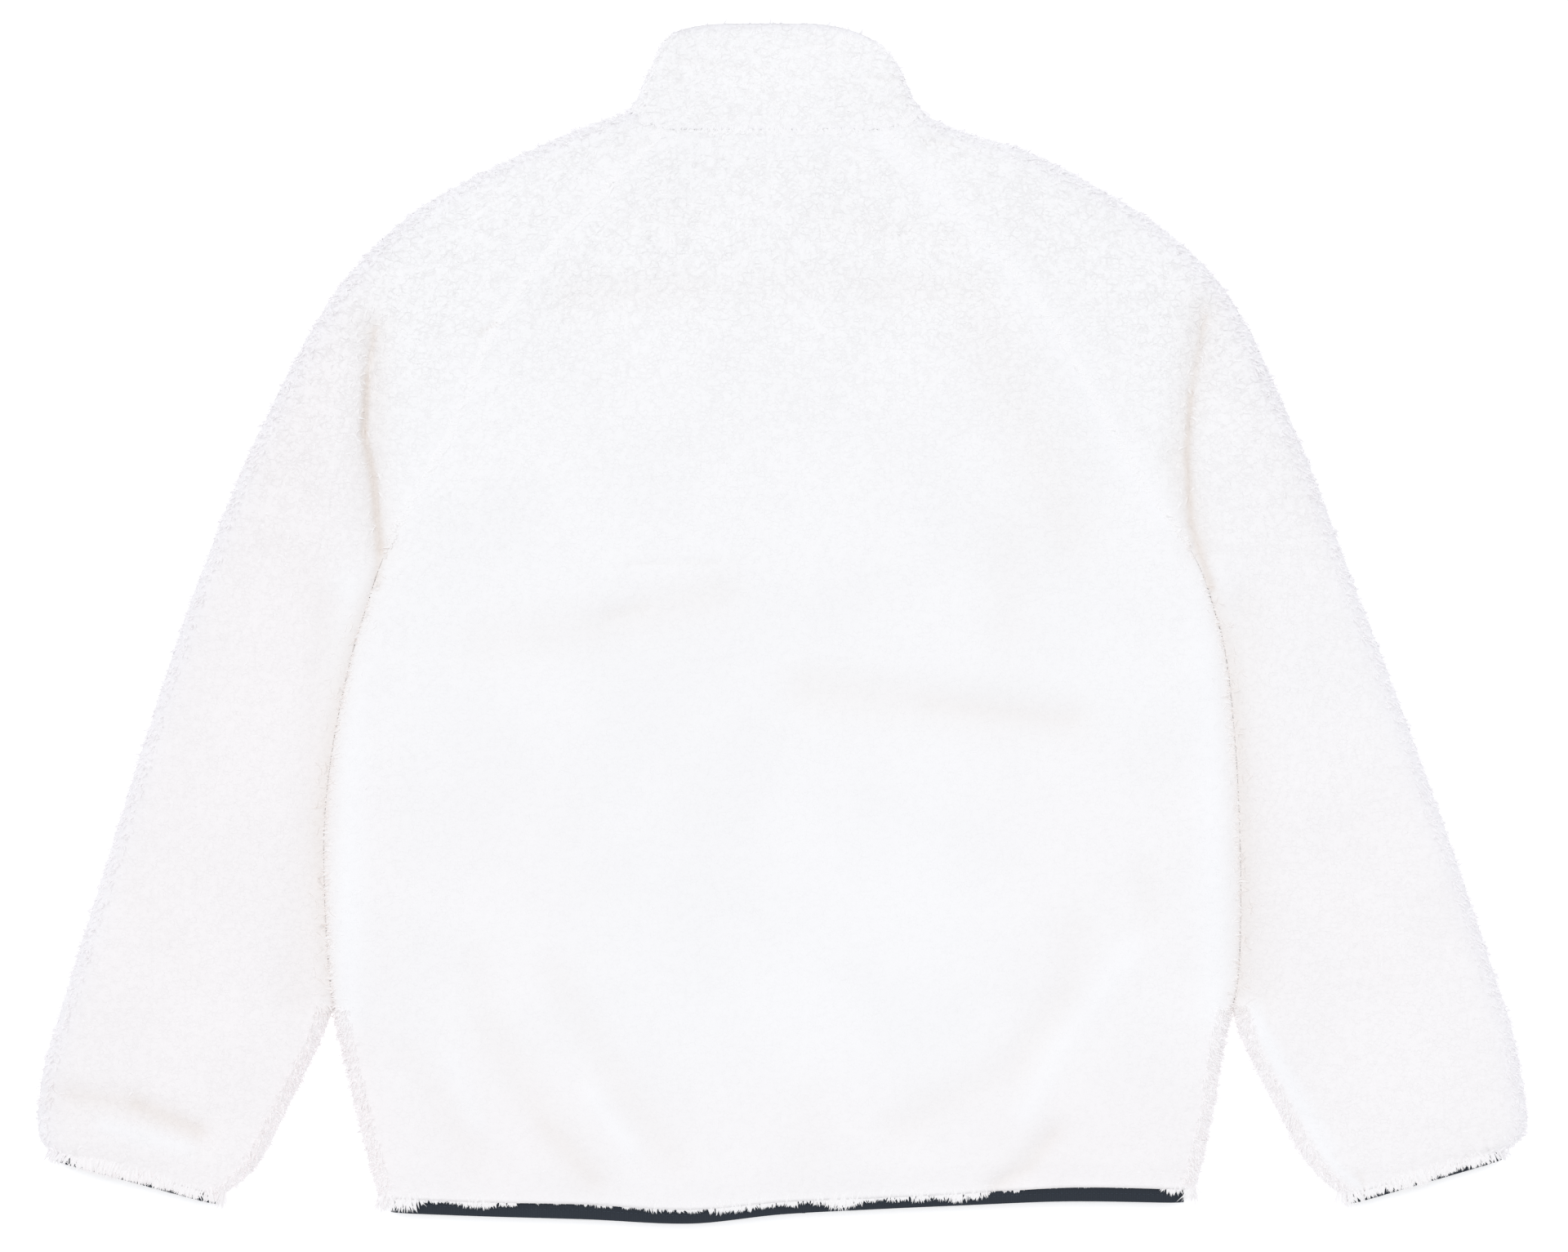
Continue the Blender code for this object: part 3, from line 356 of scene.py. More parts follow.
def sleevePlace(side, table):
    def place(across, along):
        key = mix(cloth["cuffKey"], cloth["neckKey"], along)
        roll, drop = rollAt(key), frontDrop(key)
        gap = cloth["seamGap"] / 2.0 * roll
        beside = side * sideX(key, side) + cloth["seamGap"]
        innerX = side * np.maximum(side * readTable(table, key, 1), beside)
        fold = np.stack([readTable(table, key, 2), readTable(table, key, 3)], 1)
        backEnd = np.stack([innerX, key], 1)
        frontEnd = np.stack([innerX + side * fronts["setOut"] * drop, key - fronts["drop"] * drop], 1)
        upperWidth = np.linalg.norm(fold - backEnd, axis=1)
        lowerWidth = np.linalg.norm(fold - frontEnd, axis=1)
        toFold = (fold - backEnd) / upperWidth[:, None]
        toFoldBelow = (fold - frontEnd) / lowerWidth[:, None]
        upperReach = np.minimum(cloth["upperReach"], sleeves["most"] * upperWidth)
        lowerReach = np.minimum(cloth["lowerReach"], sleeves["most"] * lowerWidth)
        zone, share = zoneOf(across, sleeves["marks"])
        upper = zone < 3
        width = np.where(upper, upperWidth, lowerWidth)
        reach = np.where(upper, upperReach, lowerReach)
        flatTurn = np.ones_like(share)
        turn = np.choose(zone, [share, flatTurn, 1.0 - share] * 2)
        atFold = (zone == 2) | (zone == 3)
        outer, inner, rise = rollInsets(turn, reach, np.where(atFold, 1.0, roll))
        flat = mix(reach, width - reach, share)
        isFlat = (zone == 1) | (zone == 4)
        outer, inner = np.where(isFlat, flat, outer), np.where(isFlat, flat, inner)
        start = np.where((zone < 2)[:, None], backEnd, np.where((zone == 5)[:, None], frontEnd, fold))
        heading = np.where(upper[:, None], toFold, toFoldBelow)
        heading = np.where((atFold | (zone == 4))[:, None], -heading, heading)
        outerSpot = start + heading * outer[:, None]
        innerSpot = start + heading * inner[:, None]
        between = fold - (toFold + toFoldBelow) * 0.5 * cloth["edgeWall"]
        near = (np.where(atFold, 1.0 - turn, 0.0) ** 2)[:, None]
        innerSpot = mix(innerSpot, between, near)
        touch = np.where(atFold, 0.0, touching(key) * roll)
        ease = np.where(upper, hemEase(key), 0.0)
        found = joinPlace(outerSpot.T, innerSpot.T, rise, upper, ease, gap, touch)
        fromSeam = np.where(zone < 3, np.linalg.norm(outerSpot - backEnd, axis=1), 99.0)
        paleHighlight = sleeves["seamHighlight"] + sleeves["highlightBySide"] * side
        found["seam"] = paleHighlight * np.exp(-(fromSeam / sleeves["seamWidth"]) ** 2) * (1.0 - roll)
        rimShade, rimWidth = sleeves["foldRimShade"]
        fromFold = np.linalg.norm(outerSpot - fold, axis=1)
        # painted edge shade kept at the outer fold, less beside the seam, and more painted shade along the
        # fold
        found["rim"] = found["rim"] * np.where(atFold, 1.0, cloth["seamRimShade"])
        found["rim"] = np.maximum(found["rim"], rimShade * np.exp(-(fromFold / rimWidth) ** 2))
        # painted shade in the valley where the sleeve lies against the body
        found["valleyShade"] = np.exp(-(fromSeam / sleeves["valleyWidth"]) ** 2) * touch
        # painted highlight along the underarm seam's ridge near the right cuff
        if side > 0:
            free = smoothStep((sleeves["underarmKey"] - key) / sleeves["underarmFade"])
            ridge = (fromSeam - sleeves["underarmSeam"]) / sleeves["underarmWidth"]
            found["seam"] = found["seam"] + free * np.exp(-ridge ** 2)
        return found
    return place


leftPlace, rightPlace = sleevePlace(-1, leftSleeve), sleevePlace(1, rightSleeve)

collar = {
    "columns": 240,
    "rows": 40,
    # share of the height, shares of the width at the base on the left and on the right
    "narrowing": np.array([
        (0.0, 1.0, 1.0), (0.2, 0.937, 0.905), (0.45, 0.87, 0.84),
        (0.7, 0.80, 0.77), (0.9, 0.745, 0.68), (1.0, 0.685, 0.61),
    ]),
    "topBack": 391.2,
    "topFront": 331.0,
    "left": {"top": 383.0, "drop": 4.0},
    "right": {"top": 377.0, "drop": 2.6},
    "sag": 5.5,
    "sagStart": 340.0,
    "sagLength": 45.0,
    "round": 2.4,
    "room": 1.0,             # how far it stands off the tight folds of the sleeves' neck ends
    "flat": (0.360, 0.080),
    "area": 0.0245,
}


def edgeRow(place, count, along):     # one row of spots along a piece's edge
    return place(np.linspace(0.0, 1.0, count), np.full(count, along))


def chainRows(rows):     # rows of several pieces as one row, read by its share of the whole length
    chain = {}
    for name in ("outer", "inner", "rise", "upper"):
        chain[name] = np.concatenate([row[name] for row in rows]).astype(float)
    steps = np.linalg.norm(np.diff(chain["outer"], axis=0), axis=1)
    length = np.concatenate([[0.0], np.cumsum(np.maximum(steps, 1e-4))])
    chain["share"] = length / length[-1]
    return chain


def readChain(chain, across):
    def along(values):
        return np.interp(across, chain["share"], values)
    outer = np.stack([along(chain["outer"][:, axis]) for axis in range(3)], 1)
    inner = np.stack([along(chain["inner"][:, axis]) for axis in range(3)], 1)
    return outer, inner, along(chain["rise"]), along(chain["upper"]) > 0.5


def turned(row):
    return {name: row[name][::-1] for name in ("outer", "inner", "rise", "upper")}


def neckChain():
    rows = []
    for side, sleevePart in ((-1, leftPlace), (1, rightPlace)):
        front = edgeRow(frontPlace(side), 60, 1.0)
        sleeve = edgeRow(sleevePart, 60, 1.0)
        sleeve = {name: value[1:-1] for name, value in sleeve.items()}
        for name in ("outer", "inner"):
            front[name][:, 1] += cloth["seamGap"]
            sleeve[name][:, 1] += cloth["seamGap"] + collar["room"] * (1.0 - sleeve["rise"])
        rows.append((front, sleeve))
    backRow = edgeRow(backPlace, 120, 1.0)
    for name in ("outer", "inner"):
        backRow[name][:, 1] += cloth["seamGap"]
    (frontLeft, sleeveLeft), (frontRight, sleeveRight) = rows
    return chainRows([frontLeft, turned(sleeveLeft), backRow, sleeveRight, turned(frontRight)])


neck = neckChain()


def collarPlace(across, along):
    outer, inner, rise, upper = readChain(neck, across)
    onLeft = outer[:, 0] < 0.0
    halfWidth = np.where(onLeft, -neck["outer"][:, 0].min(), neck["outer"][:, 0].max())
    reach = np.minimum(1.0, np.abs(outer[:, 0]) / halfWidth)
    topSide = np.where(onLeft, collar["left"]["top"], collar["right"]["top"])
    drop = np.where(onLeft, collar["left"]["drop"], collar["right"]["drop"])
    topBack = mix(collar["topBack"], topSide, reach ** drop)
    top = np.where(upper, topBack, mix(collar["topFront"], topSide, reach ** 2))
    shares = collar["narrowing"]
    widths = [np.interp(along, shares[:, 0], shares[:, column]) for column in (1, 2)]
    width = np.where(onLeft, widths[0], widths[1])
    places = []
    for spot in (outer, inner):
        x, y, z = spot.T
        newX = x - np.sign(x) * np.maximum(0.0, np.abs(x) - cloth["zipBeside"]) * (1.0 - width)
        newY = mix(y, top, along)
        sink = smoothStep((newY - collar["sagStart"]) / collar["sagLength"])
        newZ = z - np.where(upper, collar["sag"] * (1.0 - reach ** 2) * sink * rise, 0.0)
        places.append(np.stack([newX, newY, newZ], 1))
    edge = collar["round"] * smoothStep((along - 0.85) / 0.15) * rise
    lift = np.where(upper, -edge, edge)
    places[0][:, 2] += lift * 0.6
    places[1][:, 2] -= lift * 0.5
    crease = foldSum(creases, places[0][:, 0], places[0][:, 1])
    places[0][:, 2] += np.where(upper, crease * rise * smoothStep(along / 0.08), 0.0)
    # seam: painted highlight along the collar's lower seam
    seam = 0.25 * np.exp(-(along / 0.07) ** 2)
    # rim: painted shade at the collar's rounded top and edges, and along the neck seam below
    rim = np.maximum(1.0 - rise, 0.8 * smoothStep((along - 0.9) / 0.1))
    wavy = 0.6 + 0.4 * np.sin(across * 61.0 + 2.0 * np.sin(across * 23.0))     # the neck seam's uneven line of painted shade
    rim = np.maximum(rim, wavy * np.exp(-(along / 0.022) ** 2))
    found = {"outer": places[0], "inner": places[1], "rise": rise, "upper": upper}
    return {**found, "seam": seam, "rim": rim}


binding = {
    "top": 11.0,
    "under": 7.6,
    "fold": 5.8,
    "wall": 3.6,
    "soft": 0.5,             # lost at each face along its two edges
    "hemWidth": 0.974,
    "cuffWidth": 0.97,
    "drawIn": 60.0,
    "cuffHeight": 6.5,
    "hem": {"columns": 720, "rows": 12},
    "cuff": {"columns": 240, "rows": 12},
    "hemFlat": (1.085, 0.0141),
    "cuffFlat": (0.252, 0.0102),
}


def thinEdge(outer, inner):
    return mix(outer, inner, binding["wall"] / cloth["edgeWall"])


def bandHeights(rise, upper, along):
    ends = np.clip(np.abs(along - 0.5) * 2.0, 0.0, 1.0) ** 6
    squeeze = binding["soft"] * ends
    middle = binding["fold"] + np.where(upper, cloth["seamGap"], -cloth["seamGap"]) / 2.0
    outer = np.where(upper, mix(middle, binding["top"] - squeeze, rise), mix(middle, squeeze, rise))
    inner = np.where(
        upper,
        mix(middle, binding["under"] + squeeze, rise),
        mix(middle, binding["wall"] - squeeze, rise),
    )
    return outer, inner


hemChain = chainRows([
    edgeRow(frontPlace(-1), 90, 0.0),
    edgeRow(backPlace, 180, 0.0),
    turned(edgeRow(frontPlace(1), 90, 0.0)),
])


def hemBandPlace(across, along):
    outer, inner, rise, upper = readChain(hemChain, across)
    beside = np.abs(outer[:, 0]) - cloth["zipBeside"]
    narrow = mix(1.0, binding["hemWidth"], smoothStep(beside / binding["drawIn"]))
    places = []
    for place in (outer, thinEdge(outer, inner)):
        x = place[:, 0]
        start = readTable(hemLine, x, 1) - cloth["seamGap"]
        places.append([x * narrow, mix(start, readTable(hemLine, x, 2), along)])
    for place, z in zip(places, bandHeights(rise, upper, along)):
        place.append(z)
    outer, inner = (np.stack(place, 1) for place in places)
    return {"outer": outer, "inner": inner, "rise": rise, "upper": upper}


def cuffBandPlace(side, sleevePart):
    chain = chainRows([edgeRow(sleevePart, 240, 0.0)])
    start = chain["outer"][0]
    fold = chain["outer"][np.argmax(np.abs(chain["outer"][:, 0]))]
    heading = (fold - start)[:2] / np.linalg.norm((fold - start)[:2])
    down = np.array([side * abs(heading[1]), -abs(heading[0])])
    middle = (start + fold)[:2] / 2.0

    def place(across, along):
        outer, inner, rise, upper = readChain(chain, across)
        drop = cloth["seamGap"] + binding["cuffHeight"] * along
        found = {"rise": rise, "upper": upper}
        heights = bandHeights(rise, upper, along)
        spots = (outer, thinEdge(outer, inner))
        for name, spot, z in zip(("outer", "inner"), spots, heights):
            flat = mix(middle, spot[:, :2], binding["cuffWidth"]) + down * drop[:, None]
            found[name] = np.column_stack([flat, z])
        return found
    return place


print("stage 2: measures ready")

pile = {
    "clump": 6.2,            # width of the soft clumps
    "wander": (14.0, 0.35),     # size and share of their uneven spacing
    "depth": 0.9,
    "fine": 0.35,
    "fineSize": 3.6,
    "edgeFade": 4.0,         # they die out this near to a seam
    "sides": 3,              # of a lock
    "cuts": 1,               # across it, so that it can bend
    "belly": 2.4,            # how much fuller it is half way
    "flatter": 0.55,         # its thickness as a share of its width
    # how much of the painted highlight (seam), pink tint (blush) and painted shade (rim, crease) a lock takes
    "tintShares": {"seam": 0.3, "blush": 0.45, "rim": 0.5, "crease": 0.9},
    "seed": 5,
}
noise.seed_set(pile["seed"])     # otherwise the noise vectors differ from run to run


def livelyAt(points):     # how strongly the pile is cracked: most at the neck and shoulders
    upward = smoothStep((points[:, 1] + 60.0) / 330.0)
    outward = smoothStep((np.abs(points[:, 0]) - 170.0) / 180.0)
    return np.clip(0.18 + 0.72 * upward + 0.32 * outward, 0.0, 1.0)


def pileLift(points):     # uneven height of the pile
    lift = np.empty(len(points))
    size, share = pile["wander"]
    for index, point in enumerate(points):
        spot = Vector(point)
        shift = noise.noise_vector(spot / size) * share
        near = noise.voronoi(spot / pile["clump"] + shift)[0]
        clump = min(1.0, (near[1] - near[0]) * 2.2)
        grain = pile["fine"] * noise.noise(spot / pile["fineSize"])
        lift[index] = pile["depth"] * (clump ** 0.6 - 0.75) + grain
    return lift


def shellMesh(columns, rows, ratio):     # closed slab over the square: fine outside, coarse inside
    mesh = bmesh.new()
    bmesh.ops.create_grid(mesh, x_segments=columns, y_segments=rows, size=1.0)
    rim = [edge for edge in mesh.edges if edge.is_boundary]
    for step in range(2):
        grown = bmesh.ops.extrude_edge_only(mesh, edges=rim)["geom"]
        verts = [item for item in grown if isinstance(item, bmesh.types.BMVert)]
        bmesh.ops.translate(mesh, verts=verts, vec=(0.0, 0.0, -0.5))
        rim = [item for item in grown if isinstance(item, bmesh.types.BMEdge) and item.is_boundary]
    under = bmesh.ops.create_grid(
        mesh, x_segments=columns // ratio, y_segments=rows // ratio, size=1.0,
        matrix=Matrix.Translation((0.0, 0.0, -1.0)),
    )["verts"]
    coarse = {edge for vert in under for edge in vert.link_edges if edge.is_boundary}
    bmesh.ops.subdivide_edges(mesh, edges=list(coarse), cuts=ratio - 1, use_grid_fill=True)
    bmesh.ops.remove_doubles(mesh, verts=list(mesh.verts), dist=0.0002)
    bmesh.ops.triangulate(mesh, faces=[face for face in mesh.faces if len(face.verts) > 4])
    bmesh.ops.recalc_face_normals(mesh, faces=list(mesh.faces))
    return mesh


def meshData(name, mesh):
    data = bpy.data.meshes.new(name)
    mesh.to_mesh(data)
    mesh.free()
    return data


def readPoints(data):
    points = np.empty(len(data.vertices) * 3)
    data.vertices.foreach_get("co", points)
    return points.reshape(-1, 3)


def writePoints(data, points):     # from millimetres
    data.vertices.foreach_set("co", (points * mm).astype(np.float32).ravel())
    data.update()


def unit(vectors):
    return vectors / np.maximum(np.linalg.norm(vectors, axis=-1, keepdims=True), 1e-9)


def newObject(name, data):
    piece = bpy.data.objects.new(name, data)
    bpy.context.scene.collection.objects.link(piece)
    return piece


def addPiece(name, data, material, body="jacket", replaces=()):
    piece = newObject(name, data)
    data.materials.clear()
    data.materials.append(material)
    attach(piece, body)
    for node in replaces:
        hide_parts(node)
    return piece


def storeValue(data, name, values):
    data.attributes.new(name, "FLOAT", "POINT").data.foreach_set("value", values.astype(np.float32))


def tints(found):     # how pink the pile looks at each spot, with warm painted shade in creases, grey painted shade at the rims and pale painted highlight at seams and ridges
    x, y = found["outer"][:, 0], found["outer"][:, 1]
    wide = -foldSum([row for row in folds if row[5] < 0], x, y)
    narrow = -foldSum([row for row in creases if row[5] < 0], x, y)
    # fold ridges, for a painted highlight
    paleHighlight = foldSum([row for row in broadFolds + creases if row[5] > 0 and row[3] < -100], x, y)
    # dips of the folds and creases, for a warm painted shade
    dips = np.where(found["upper"], wide / 16.0 + (narrow / 2.8) ** 2, 0.0)
    pink = smoothStep((-235.0 - x) / 80.0) + 0.4 * smoothStep((x - 235.0) / 80.0)     # sleeves
    pink += 0.5 * smoothStep((-250.0 - y) / 90.0) * smoothStep((300.0 - x) / 60.0)     # near the hem
    pink += 0.3 * smoothStep((np.abs(x) - 90.0) / 90.0) * smoothStep((-40.0 - y) / 100.0)     # sides
    pink += 0.5 * np.exp(-((x + 390.0) / 60.0) ** 2 - ((y + 245.0) / 30.0) ** 2)     # above the left cuff
    middle = 0.3 * np.exp(-((x - 60.0) / 80.0) ** 4 - ((y + 200.0) / 95.0) ** 4)     # pale patch on the back
    return {
        # crease: warm painted shade in the folds, the creases and the valley beside the body
        "crease": np.clip(dips + found.get("valleyShade", 0.0) * 0.45, 0.0, 1.0),
        # rim: grey painted shade on the rounded edges and outer folds
        "rim": np.clip(found.get("rim", np.zeros_like(x)), 0.0, 1.0) ** 0.8,
        "blush": np.clip(pink, 0.0, 1.4),
        # seam: painted highlight along the seams and fold ridges, and a pale patch on the back
        "seam": np.clip(found["seam"] + np.where(found["upper"], paleHighlight * 0.6 + middle, 0.0), 0.0, 1.0),
    }


def liftPile(data, found, border, depth):     # raises the outer side into clumps and stores its tints, painted shade and painted highlight
    outer, inner = found["outer"], found["inner"]
    fade = np.where(depth < 0.25, smoothStep(border * 2.2 / pile["edgeFade"]), 0.0)
    wanted = np.flatnonzero(fade > 0.0)
    lift = np.zeros(len(outer))
    calm = (0.45 + 0.55 * livelyAt(outer[wanted])) * (1.0 - 0.6 * np.minimum(found["seam"][wanted], 1.0))
    lift[wanted] = pileLift(outer[wanted]) * fade[wanted] * calm
    lift = np.where(found["upper"], lift, np.minimum(lift - 0.5 * fade, 0.0))
    outer = outer + unit(outer - inner) * lift[:, None]
    outer[:, 2] = np.maximum(outer[:, 2], 0.0)
    for label, values in tints({**found, "outer": outer}).items():
        storeValue(data, label, values)
    storeValue(data, "lively", livelyAt(outer))
    return outer


def makeShell(name, place, size, material, node, lifted=True, ratio=8):
    columns, rows = size["columns"], size["rows"]
    data = meshData(name, shellMesh(columns, rows, ratio))
    spots = readPoints(data)
    across, along, depth = (spots[:, 0] + 1) / 2, (spots[:, 1] + 1) / 2, -spots[:, 2]
    found = place(across, along)
    outer = found["outer"]
    if lifted:
        border = np.minimum(across, 1.0 - across) * columns
        border = np.minimum(border, np.minimum(along, 1.0 - along) * rows)
        outer = liftPile(data, found, border, depth)
    writePoints(data, mix(outer, found["inner"], depth[:, None]))
    ahead = place(np.array([0.4, 0.41, 0.4]), np.array([0.5, 0.5, 0.51]))
    turn = np.cross(ahead["outer"][1] - ahead["outer"][0], ahead["outer"][2] - ahead["outer"][0])
    if np.dot(turn, ahead["outer"][0] - ahead["inner"][0]) < 0.0:
        data.flip_normals()
    data.shade_smooth()
    data.update()
    return addPiece(name, data, material, replaces=(node,))


def addNode(tree, kind, inputs=None, **settings):
    node = tree.nodes.new(kind)
    for name, value in settings.items():
        setattr(node, name, value)
    for name, value in (inputs or {}).items():
        if isinstance(value, bpy.types.NodeSocket):
            tree.links.new(value, node.inputs[name])
        else:
            node.inputs[name].default_value = value
    return node


def noiseAt(tree, place, scale, detail):
    inputs = {"Vector": place, "Scale": scale, "Detail": detail}
    return addNode(tree, "ShaderNodeTexNoise", inputs).outputs["Fac"]


def waveAt(tree, place, direction, scale, distortion, detail=2.0):
    inputs = {"Vector": place, "Scale": scale, "Distortion": distortion, "Detail": detail}
    return addNode(tree, "ShaderNodeTexWave", inputs, bands_direction=direction).outputs["Fac"]


def valueOf(tree, name):     # a value stored on the mesh
    return addNode(tree, "ShaderNodeAttribute", attribute_name=name).outputs["Fac"]


def mapRange(tree, value, low, high, toLow=0.0, toHigh=1.0):
    inputs = {"Value": value, "From Min": low, "From Max": high, "To Min": toLow, "To Max": toHigh}
    return addNode(tree, "ShaderNodeMapRange", inputs, interpolation_type="SMOOTHSTEP").outputs["Result"]


def maths(tree, operation, first, second=0.0):
    return addNode(tree, "ShaderNodeMath", {0: first, 1: second}, operation=operation).outputs["Value"]


def vectorMaths(tree, operation, inputs):
    return addNode(tree, "ShaderNodeVectorMath", inputs, operation=operation).outputs[0]


def blendColor(tree, share, first, second, kind="MIX"):
    inputs = {0: share, 6: first, 7: second}
    return addNode(tree, "ShaderNodeMix", inputs, data_type="RGBA", blend_type=kind).outputs[2]


def newMaterial(name, sockets):     # sockets hold what is the same all over the surface
    material = bpy.data.materials.new(name)
    material.use_nodes = True
    tree = material.node_tree
    shader = tree.nodes["Principled BSDF"]
    for label, value in sockets.items():
        shader.inputs[label].default_value = value
    return material, tree, shader, addNode(tree, "ShaderNodeTexCoord").outputs["Object"]


def finishSurface(tree, shader, color, height=None, distance=0.0, strength=0.0):
    tree.links.new(color, shader.inputs["Base Color"])
    if height is not None:
        bump = addNode(tree, "ShaderNodeBump", {"Height": height, "Distance": distance, "Strength": strength})
        tree.links.new(bump.outputs["Normal"], shader.inputs["Normal"])


fleeceFinish = {
    "pile": (0.972, 0.964, 0.964, 1.0),
    "lively": (0.992, 0.987, 0.987, 1.0),
    "tips": ((0.972, 0.964, 0.962, 1.0), (0.981, 0.974, 0.972, 1.0)),
    # crack: painted shade in the cracks between clumps
    "crack": (0.945, 0.937, 0.936, 1.0),
    # crease: warm painted shade for the folds, the creases and the valley beside the body
    "crease": (0.860, 0.800, 0.755, 1.0),
    # rim: grey-lavender painted shade on the rounded edges and outer folds
    "rim": (0.918, 0.908, 0.930, 1.0),
    "blush": (0.976, 0.948, 0.946, 1.0),
    # seam: painted highlight along the seams and fold ridges
    "seam": (0.990, 0.985, 0.990, 1.0),
    "clumps": {"Fine": 330.0, "Coarse": 175.0, "Fibre": 1500.0},     # to the metre
    "stretch": (0.86, 1.14, 1.0),     # clumps are a little wider than high
    # clump size, width of its cracks, size of the patches that have them, from where to where in the noise
    "cracks": (("Fine", 0.14, 260.0, 0.32, 0.60), ("Coarse", 0.12, 150.0, 0.38, 0.62)),
    "fineCracks": (0.55, 0.17),     # where the pile is lively, and everywhere
    "coarseCracks": 1.25,
    "bump": 0.0005,
    "sockets": {"Roughness": 0.95, "Specular IOR Level": 0.2, "Sheen Weight": 0.5, "Sheen Roughness": 0.5},
}


def pileGroup():     # dense curled pile: hairline cracks between small clumps
    vector, number = "NodeSocketVector", "NodeSocketFloat"
    group = bpy.data.node_groups.new("pileCurls", "ShaderNodeTree")
    for label in ("Vector", "Fine", "Coarse", "Fibre", "Lively"):
        kind = vector if label == "Vector" else number
        group.interface.new_socket(label, in_out="INPUT", socket_type=kind)
    for label in ("Height", "Crack", "Mottle"):
        group.interface.new_socket(label, in_out="OUTPUT", socket_type=number)
    start, end = group.nodes.new("NodeGroupInput"), group.nodes.new("NodeGroupOutput")
    place, lively = start.outputs["Vector"], start.outputs["Lively"]
    wander = addNode(group, "ShaderNodeTexNoise", {"Vector": place, "Scale": 300.0, "Detail": 2.0})
    centred = vectorMaths(group, "SUBTRACT", {0: wander.outputs["Color"], 1: (0.5, 0.5, 0.5)})
    moved = vectorMaths(group, "ADD", {0: place, 1: vectorMaths(group, "SCALE", {0: centred, 3: 0.0034})})
    moved = vectorMaths(group, "MULTIPLY", {0: moved, 1: fleeceFinish["stretch"]})
    cracks = []
    for size, line, patch, low, high in fleeceFinish["cracks"]:
        inputs = {"Vector": moved, "Scale": start.outputs[size]}
        cell = addNode(group, "ShaderNodeTexVoronoi", inputs, feature="DISTANCE_TO_EDGE").outputs["Distance"]
        shown = mapRange(group, noiseAt(group, place, patch, 1.0), low, high)
        cracks.append(maths(group, "MULTIPLY", mapRange(group, cell, 0.0, line, 1.0, 0.0), shown))
    byLively, always = fleeceFinish["fineCracks"]
    fineShare = maths(group, "ADD", maths(group, "MULTIPLY", lively, byLively), always)
    coarseShare = maths(group, "MULTIPLY", maths(group, "POWER", lively, 2.0), fleeceFinish["coarseCracks"])
    fine = maths(group, "MULTIPLY", cracks[0], fineShare)
    crack = maths(group, "MAXIMUM", fine, maths(group, "MULTIPLY", cracks[1], coarseShare))
    fibre = maths(group, "MULTIPLY", noiseAt(group, moved, start.outputs["Fibre"], 3.0), 0.3)
    height = maths(group, "SUBTRACT", fibre, maths(group, "MULTIPLY", crack, 0.7))
    group.links.new(height, end.inputs["Height"])
    group.links.new(crack, end.inputs["Crack"])
    group.links.new(noiseAt(group, place, 14.0, 3.0), end.inputs["Mottle"])
    return group


def pileColor(tree, first):     # the pink tint, painted shade and painted highlight laid over the pile's own colour
    color = first
    for name in ("blush", "rim", "seam", "crease"):
        color = blendColor(tree, valueOf(tree, name), color, fleeceFinish[name])
    return color


def fleeceMaterial(curls):
    material, tree, shader, place = newMaterial("fleece", fleeceFinish["sockets"])
    lively = valueOf(tree, "lively")
    inputs = {"Vector": place, "Lively": lively, **fleeceFinish["clumps"]}
    texture = addNode(tree, "ShaderNodeGroup", inputs, node_tree=curls)
    color = pileColor(tree, blendColor(tree, lively, fleeceFinish["pile"], fleeceFinish["lively"]))
    mottle = mapRange(tree, texture.outputs["Mottle"], 0.35, 0.65, 0.985, 1.0)
    color = blendColor(tree, 1.0, color, mottle, "MULTIPLY")
    # painted shade in the cracks between clumps, less beside a seam
    besideSeam = maths(tree, "SUBTRACT", 1.0, valueOf(tree, "seam"))
    crackShade = maths(tree, "MULTIPLY", texture.outputs["Crack"], besideSeam)
    color = blendColor(tree, crackShade, color, fleeceFinish["crack"], "MULTIPLY")
    finishSurface(tree, shader, color, texture.outputs["Height"], fleeceFinish["bump"], 0.6)
    return material


def tuftMaterial():
    material, tree, shader, place = newMaterial("pileTips", fleeceFinish["sockets"])
    shade = mapRange(tree, noiseAt(tree, place, 220.0, 2.0), 0.3, 0.7)
    color = pileColor(tree, blendColor(tree, shade, *fleeceFinish["tips"]))
    finishSurface(tree, shader, color, noiseAt(tree, place, 1800.0, 1.0), 0.0002, 0.4)
    return material


def bindingMaterial():     # ribbed elastic
    material, tree, shader, place = newMaterial("binding", {"Roughness": 0.8, "Specular IOR Level": 0.3})
    rib = maths(tree, "MULTIPLY", waveAt(tree, place, "X", 380.0, 0.6, 1.0), 0.7)
    height = maths(tree, "ADD", rib, maths(tree, "MULTIPLY", noiseAt(tree, place, 900.0, 2.0), 0.3))
    color = blendColor(tree, height, (0.018, 0.024, 0.034, 1.0), (0.034, 0.042, 0.055, 1.0))
    finishSurface(tree, shader, color, height, 0.0003, 0.6)
    return material


fleece = fleeceMaterial(pileGroup())
tips = tuftMaterial()
navy = bindingMaterial()

